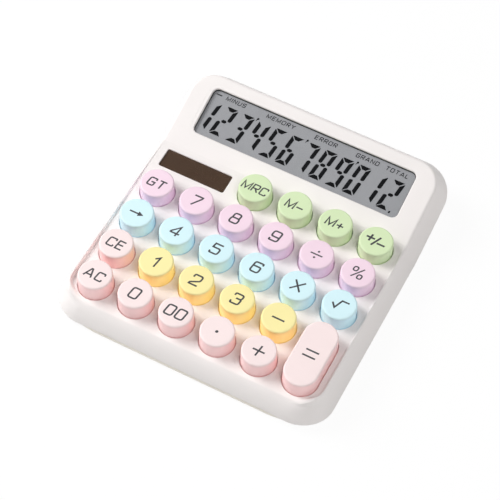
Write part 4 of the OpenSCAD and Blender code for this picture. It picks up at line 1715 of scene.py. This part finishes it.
@dataclass
class Keypad:
    """The 27 caps with their printed legends."""

    turned: TurnedShape
    top_r: float = 8.48
    flare: float = 0.2
    edge: float = 0.9
    wall: float = 1.3
    rim_r: float = 9.71
    rim_top: float = 12.1
    rim_z: float = 11.1
    stem_r: float = 2.4
    stem_z: float = 7.97
    stem_round: float = 0.3
    stem_reach: float = 0.6
    legend_shift: float = -0.4

    def place(self, name: str) -> tuple[float, float, float, float]:
        """Where a key stands: across and along, its span and its top, in millimetres.

        Args:
            name: Key name.

        Returns:
            Across, along, span and top.
        """
        lo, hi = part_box(f"key_{name}")
        width, length = (hi.x - lo.x) / MM, (hi.y - lo.y) / MM
        span = length - width if length > width + 1 else 0.0
        return (lo.x + hi.x) / 2 / MM, lo.y / MM + width / 2, span, hi.z / MM

    def wells(self) -> list[Triple]:
        """Where the wells are: across, along and span, in millimetres."""
        return [self.place(name)[:3] for name in KEY_CAPS]

    def profile(self, top: float) -> list[Point]:
        """Cap profile from the middle of its top round to the middle of its underside.

        Args:
            top: Height of the cap's top.

        Returns:
            Radius and height pairs.
        """
        r, edge, foot, inside = self.top_r, self.edge, self.top_r + self.flare, self.top_r - self.wall
        turns = [math.radians(a) for a in (0, 15, 30, 45, 60, 75, 88)]
        return [
            (0.0, top), (4.0, top), (r - 2 * edge, top),
            *((r - edge * (1 - math.sin(a)), top - edge * (1 - math.cos(a))) for a in turns),
            (r + self.flare * 0.5, (top + self.rim_top) / 2),
            (foot, self.rim_top + 0.2), (foot, self.rim_top),
            (self.rim_r - 0.1, self.rim_top), (self.rim_r, self.rim_top - 0.1), (self.rim_r, self.rim_z),
            (inside, self.rim_z), (inside, top - self.wall), (0.0, top - self.wall),
        ]

    def cap(self, name: str, material: Material) -> Thing:
        """Make one cap with its stems.

        Args:
            name: Key name.
            material: The plastic.

        Returns:
            The cap.
        """
        x, y, span, top = self.place(name)
        cap = self.turned.make(f"cap_{name}", self.profile(top), [(x, y, 0)], material, span)
        high, low, r = top - self.stem_reach, self.stem_z, self.stem_r
        stem = [(0.0, high), (r, high), (r, low + self.stem_round), (r - self.stem_round, low), (0.0, low)]
        spots = [(x, y, 0), (x, y + span, 0)] if span else [(x, y, 0)]
        stems = self.turned.make(FREE_NAME, stem, spots, material, 0, 24)
        made = joined(f"cap_{name}", [cap, stems])
        soften(made, 40)
        return made

    def print_legend(self, name: str, legend: Legend, ink: Material) -> None:
        """Print a legend on a cap.

        Args:
            name: Key name.
            legend: What the key says.
            ink: The ink.
        """
        x, y, span, top = self.place(name)
        at = Vector((x, y + span / 2, top)) + Vector((0, self.legend_shift, 0))
        points, faces = legend.solid()
        made = mesh_object(f"legend_{name}", [(Vector(p) + at) * MM for p in points], faces)
        face_out(made)
        dress(made, ink, f"key_{name}_body")

    def build(self) -> None:
        """Make every cap and legend."""
        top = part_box("key_ac")[1].z / MM
        for name, (tint, legend) in KEY_CAPS.items():
            colour = tint.name.lower()
            paint = CapPlastic(f"{colour} key plastic", *tint.value, top).build()
            made = self.cap(name, paint)
            dress(made, paint, f"key_{name}_body")
            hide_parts(f"key_{name}")
            self.print_legend(name, legend, KEY_INK.build())


# --------------------------------------------------------------- display


@dataclass
class DisplayPrint:
    """Digits and indicator words on the display film, and the gasket round it."""

    shape: CaseShape
    readout: str = "123456789012"
    film_depth: float = 2.05
    pitch: float = 9.38
    last_x: float = 48.97
    middle_s: float = 21.7
    skew: float = -0.0065
    slant: float = 9.0
    half_w: float = 3.35
    half_h: float = 8.35
    bar: float = 2.08
    gap: float = 0.22
    lift: float = 0.04
    word_y: float = 12.2
    gasket_depths: Point = (1.91, 2.04)
    gasket_edges: Point = (1.1, -0.2)

    LIT = {
        "0": "abcdef", "1": "bc", "2": "abdeg", "3": "abcdg", "4": "bcfg",
        "5": "acdfg", "6": "acdefg", "7": "abc", "8": "abcdefg", "9": "abcdfg",
    }
    AFTER_MARK = (2, 5, 8)
    DOT = arc((4.65, 8.7), 0.58, 0, 330, 11)
    MARK = ((4.2, 8.3), (4.75, 8.3), (4.25, 7.2), (4.05, 7.3))
    POINT = ((4.05, -8.95), (4.95, -8.95), (4.95, -7.75), (4.05, -7.75))
    DASH = ((-1.6, -0.3), (1.6, -0.3), (1.6, 0.3), (-1.6, 0.3))
    WORDS = (("MINUS", -43.85), ("MEMORY", -18.2), ("ERROR", 7.4), ("GRAND", 30.6), ("TOTAL", 46.9))
    WORD_PEN = Pen(1.98, 0.37, 9.0, 0.3, 0.5, 0.04, 3, 1.12)

    def bars(self) -> dict[str, list[Point]]:
        """Outline of each bar about the digit's middle, before the slant.

        Returns:
            The outline of each bar, by its letter.
        """
        w, h, t, g = self.half_w, self.half_h, self.bar, self.gap
        top = [
            (-w + 0.55, h), (w - 0.45, h), (w - 0.85, h - 0.35),
            (w - t - 0.35, h - t), (-w + t + 0.35, h - t), (-w + 0.45, h - 0.35),
        ]
        side = [
            (w, h - 0.75), (w - 0.22, h - 0.65), (w - t, h - t - 0.35), (w - t, g + 1.05),
            (w - t + 0.45, g + 0.4), (w - 0.6, g + 0.4), (w, g + 1.0),
        ]
        tip, flat = w - t + 0.2, w - t - 0.45
        middle = [(-tip, 0), (-flat, 0.85), (flat, 0.85), (tip, 0), (flat, -0.85), (-flat, -0.85)]
        turned = {
            "a": (top, 1, 1), "b": (side, 1, 1), "c": (side, 1, -1), "d": (top, 1, -1),
            "e": (side, -1, -1), "f": (side, -1, 1), "g": (middle, 1, 1),
        }
        return {name: [(sx * x, sy * y) for x, y in bar] for name, (bar, sx, sy) in turned.items()}

    def solid(self, outline: Sequence[Point], x: float, y: float = 0.0) -> Solid:
        """Thin solid of an outline, slanted and moved to its place in the row."""
        k = math.tan(math.radians(self.slant))
        return prism([(x + px + k * py, y + py) for px, py in outline], SUNK, self.lift)

    def gather(self, name: str, parts: Sequence[Solid], material: Material) -> None:
        """Lay thin solids, given from the middle of the row, on the film as one piece.

        Args:
            name: Piece name.
            parts: The solids.
            material: The ink.
        """
        points, faces = merged(parts)
        made = mesh_object(name, [
            self.shape.point(x, self.middle_s + y + self.skew * x, self.film_depth - z) for x, y, z in points
        ], faces)
        face_out(made)
        dress(made, material, "case")

    def build(self) -> None:
        """Print the readout, its marks and the indicator words, and lay the gasket."""
        bars, parts = self.bars(), []
        for i, sign in enumerate(self.readout):
            x = self.last_x - (len(self.readout) - 1 - i) * self.pitch
            outlines = [bars[bar] for bar in self.LIT[sign]]
            if i in self.AFTER_MARK:
                outlines += [self.DOT, self.MARK]
            parts += [self.solid(outline, x) for outline in outlines]
        parts.append(self.solid(self.POINT, self.last_x))
        self.gather("display_digits", parts, DIGIT_INK.build())
        notes = []
        for text, x in self.WORDS:
            points, faces = self.WORD_PEN.word(text)
            notes.append(([(x + px, self.word_y + py, pz) for px, py, pz in points], faces))
        notes.append(self.solid(self.DASH, -53.6, self.word_y + 0.05))
        self.gather("display_words", notes, NOTE_INK.build())
        self.gasket()

    def gasket(self) -> None:
        """Thin dark gasket under the pane, just inside the window's edge."""
        (high, low), (wide, narrow) = self.gasket_depths, self.gasket_edges
        section = ((wide, high), (narrow, high), (narrow, low), (wide, low), (wide, high))
        made = skin("window_gasket", [
            [self.shape.point(x, s, depth) for x, s in DISPLAY_WINDOW.outline(out)] for out, depth in section
        ], cap=False)
        with editing(made.data) as work:
            bmesh.ops.remove_doubles(work, verts=work.verts, dist=1e-7)
            bmesh.ops.recalc_face_normals(work, faces=work.faces)
        dress(made, GASKET.build(), "case")


# ------------------------------------------------------------------ feet


@dataclass
class Feet:
    """Rubber feet, turned and repeated by the node tree."""

    turned: TurnedShape
    radius: float = 5.5

    def places(self) -> list[Triple]:
        """Middles of the node's separate round solids, in millimetres.

        Returns:
            Where each foot stands.
        """
        near = 2.2 * self.radius
        found: list[list[float]] = []
        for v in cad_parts["rubber_feet"].data.vertices:
            x, y = v.co.x / MM, v.co.y / MM
            for spot in found:
                if abs((spot[0] + spot[1]) / 2 - x) < near and abs((spot[2] + spot[3]) / 2 - y) < near:
                    spot[:] = min(spot[0], x), max(spot[1], x), min(spot[2], y), max(spot[3], y)
                    break
            else:
                found.append([x, x, y, y])
        return [((s[0] + s[1]) / 2, (s[2] + s[3]) / 2, 0) for s in found]

    def build(self) -> None:
        """Make the feet, with a dished tread."""
        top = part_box("rubber_feet")[1].z / MM
        profile = [
            (0, 0.35), (2.6, 0.35), (3.1, 0.3), (3.4, 0.06), (3.7, 0), (4.7, 0), (5.1, 0.08),
            (5.38, 0.25), (5.48, 0.5), (self.radius, 0.8), (self.radius, top), (0, top),
        ]
        made = self.turned.make("feet", profile, self.places(), FOOT_RUBBER.build(), 0, 48)
        soften(made, 30)
        # The tree leaves its first slot empty, so the feet stand without their finish.
        dress(made, made.data.materials[0], "case")
        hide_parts("rubber_feet")


# -------------------------------------------------------- carried nodes

STEEL = Metal("zinc screw steel", (196, 198, 204), 0.28)
SPRING = Metal("nickel spring steel", (205, 202, 192), 0.25)
BLACK, RED = (30, 30, 32), (186, 30, 28)

CARRIED: dict[str, tuple[Finish, ...]] = {
    "battery_door": (DOOR_PLASTIC,),
    "display_window": (ClearSheet("clear pane", (44, 48, 52), 0.03),),
    "front_polariser": (DisplayFilm("display film", (169, 170, 174)),),
    "lcd_front_glass": (ClearSheet("front display glass", (176, 182, 180), 0.5),),
    "lcd_rear_glass": (ClearSheet("rear display glass", (160, 168, 164), 0.6),),
    "rear_reflector": (Metal("reflector foil", (178, 180, 178), 0.45, (1, 12, 1)),),
    "lcd_frame": (FRAME_PLASTIC,),
    "lcd_ribbon": (Striped("flat ribbon", (196, 142, 72), (150, 92, 40), 1.2, 0.45),),
    "frame_screws": (STEEL,),
    "board_screws": (STEEL,),
    "case_screws": (Metal("black screw steel", (74, 74, 78), 0.4),),
    "solar_window": (ClearSheet("dark solar pane", (88, 68, 54), 0.6, 0.3),),
    "solar_cell": (SolarSilicon("solar silicon", (92, 70, 56), (116, 92, 72)),),
    "rubber_dome_mat": (Rubber("grey silicone", (205, 205, 200), 0.6),),
    "contact_pads": (Rubber("carbon pad", (34, 34, 37), 0.6),),
    "main_circuit_board": (PrintedBoard("printed board", (38, 96, 58), (150, 160, 92)),),
    "chip_blob": (Plastic("epoxy blob", (22, 22, 24), 0.1, 0.8, 0.03, 0.22),),
    "battery": (Striped("cell sleeve", (190, 148, 40), (34, 34, 38), 60, 0.55, 0.3),),
    "battery_spring": (SPRING,),
    "battery_positive_contact": (SPRING,),
    "solar_wires": (Rubber("black wire", BLACK, 0.5), Rubber("red wire", RED, 0.5)),
    "battery_wires": (Rubber("black battery wire", BLACK, 0.5), Rubber("red battery wire", RED, 0.5)),
    "board_components": (
        Plastic("capacitor sleeve", (38, 52, 120), 0.05), Plastic("ceramic", (180, 148, 100), 0.08),
    ),
}


class CarriedParts:
    """The CAD nodes whose shape already is right, and which only get their finishes."""

    def build(self) -> None:
        """Assign every finish to its node's own slots, in turn where there are several."""
        for node, finishes in CARRIED.items():
            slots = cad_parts[node].data.materials
            made = [finish.build() for finish in finishes]
            if not slots:
                slots.append(made[0])
            for i in range(len(slots)):
                slots[i] = made[i % len(made)]
            log.info("%s: %s", node, ", ".join(finish.name for finish in finishes))


# ------------------------------------------------------------------ stage


@dataclass(frozen=True)
class View:
    """The camera's place round the object, with lengths in millimetres."""

    azimuth: float = 25.61
    elevation: float = 57.0
    roll: float = 2.33
    distance: float = 823.93
    focal_widths: float = 3.4533
    aim: Point = (11.05, 11.03)
    origin: Triple = (0.0, -31.434, 24.4)

    def build(self) -> None:
        """Make the scene's camera."""
        roll = math.radians(self.roll)
        out = toward(self.azimuth, self.elevation)
        flat = Vector((0, 0, 1)).cross(out).normalized()
        rise = out.cross(flat)
        right = flat * math.cos(roll) + rise * math.sin(roll)
        up = rise * math.cos(roll) - flat * math.sin(roll)
        data = bpy.data.cameras.new("camera")
        data.sensor_width = 36.0
        data.lens = self.focal_widths * data.sensor_width
        data.clip_start, data.clip_end = 0.05, 20.0
        cam = new_object("camera", data)
        place = (Vector(self.origin) + right * self.aim[0] + up * self.aim[1] + out * self.distance) * MM
        turn = Matrix((right, up, out)).transposed().to_4x4()
        cam.matrix_world = Matrix.Translation(place) @ turn
        bpy.context.scene.camera = cam


@dataclass(frozen=True)
class Lamp:
    """A soft round lamp aimed at the object, with lengths in metres."""

    name: str
    azimuth: float
    elevation: float
    power: float
    distance: float = 1.5
    size: float = 0.9

    def build(self) -> None:
        """Hang the lamp."""
        out = toward(self.azimuth, self.elevation)
        data = bpy.data.lights.new(self.name, "AREA")
        data.shape = "DISK"
        data.size = self.size
        data.energy = self.power
        lamp = new_object(self.name, data)
        lamp.location = out * self.distance
        lamp.rotation_mode = "QUATERNION"
        lamp.rotation_quaternion = out.to_track_quat("Z", "Y")


@dataclass
class Studio:
    """White floor, pale world and soft lamps; the floor's half width and shift are in metres."""

    view: View = View()
    sky: float = 0.086
    veil: float = 0.93
    under: float = 3.0
    floor_half: float = 3.0
    floor_shift: float = 0.6
    lamps: tuple[Lamp, ...] = (
        Lamp("key lamp", -90, 42, 20.5),
        Lamp("top lamp", 60, 64, 8.9),
        Lamp("right lamp", 90, 20, 3.4),
        Lamp("front lamp", -45, 20, 2.3),
    )

    def world(self) -> None:
        """Pale world that the camera sees as white."""
        world = bpy.data.worlds.new("studio")
        bpy.context.scene.world = world
        world.use_nodes = True
        t = Tree(world.node_tree)
        back = t.tree.nodes["Background"]
        t.feed(back.inputs["Color"], WHITE)
        t.feed(back.inputs["Strength"], self.sky)
        white = t.node("ShaderNodeBackground", {"Color": WHITE})[0]
        t.feed(t.tree.nodes["World Output"].inputs[0], t.mixed(t.seen(), back.outputs[0], white))

    def floor(self) -> None:
        """Pale floor that keeps the object's soft shadow, and can't be seen from below.

        It is lit for the soft light that reaches an underside within a few
        millimetres, so that the object's underside isn't black.
        """
        away, size = self.floor_shift, self.floor_half
        signs = ((-1, -1), (1, -1), (1, 1), (-1, 1))
        corner = [Vector((x * size + away, y * size - away, 0)) for x, y in signs]
        made = mesh_object("floor", corner, [[0, 1, 2, 3]])
        s = Shader("floor paint")
        s.put(Base_Color=linear((252, 252, 252)), Roughness=0.9, Specular_IOR_Level=0.0)
        ray = s.node("ShaderNodeLightPath")
        close = s.math("LESS_THAN", ray["Ray Length"], self.under * MM)
        lit = s.math("MULTIPLY", s.math("MULTIPLY", ray["Is Diffuse Ray"], close), self.veil)
        share = s.math("MAXIMUM", s.math("MULTIPLY", s.seen(), self.veil), lit)
        top = s.mixed(share, s.body.outputs[0], s.node("ShaderNodeEmission")[0])
        back = s.node("ShaderNodeNewGeometry")["Backfacing"]
        clear = s.node("ShaderNodeBsdfTransparent")[0]
        s.feed(s.tree.nodes["Material Output"].inputs["Surface"], s.mixed(back, top, clear))
        made.data.materials.append(s.material)
        made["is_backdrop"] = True

    def build(self) -> None:
        """Set up everything round the object."""
        self.view.build()
        self.world()
        self.floor()
        for lamp in self.lamps:
            lamp.build()
        bpy.context.scene.view_settings.view_transform = "Standard"


def corners() -> list[list[float]]:
    """The shown object's box as plain lists."""
    return [list(corner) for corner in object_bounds()]


def main() -> None:
    """Build the calculator's dressed model class by class."""
    logging.basicConfig(level=logging.INFO, format="%(message)s")
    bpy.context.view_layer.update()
    Studio().build()
    turned = TurnedShape()
    keypad = Keypad(turned)
    shape = CaseShape()
    strip = FrontStrip()
    CaseShell(shape, strip, keypad.wells()).build()
    BaseTray(shape, strip).build()
    keypad.build()
    DisplayPrint(shape).build()
    Feet(turned).build()
    CarriedParts().build()


if __name__ == "__main__":
    main()
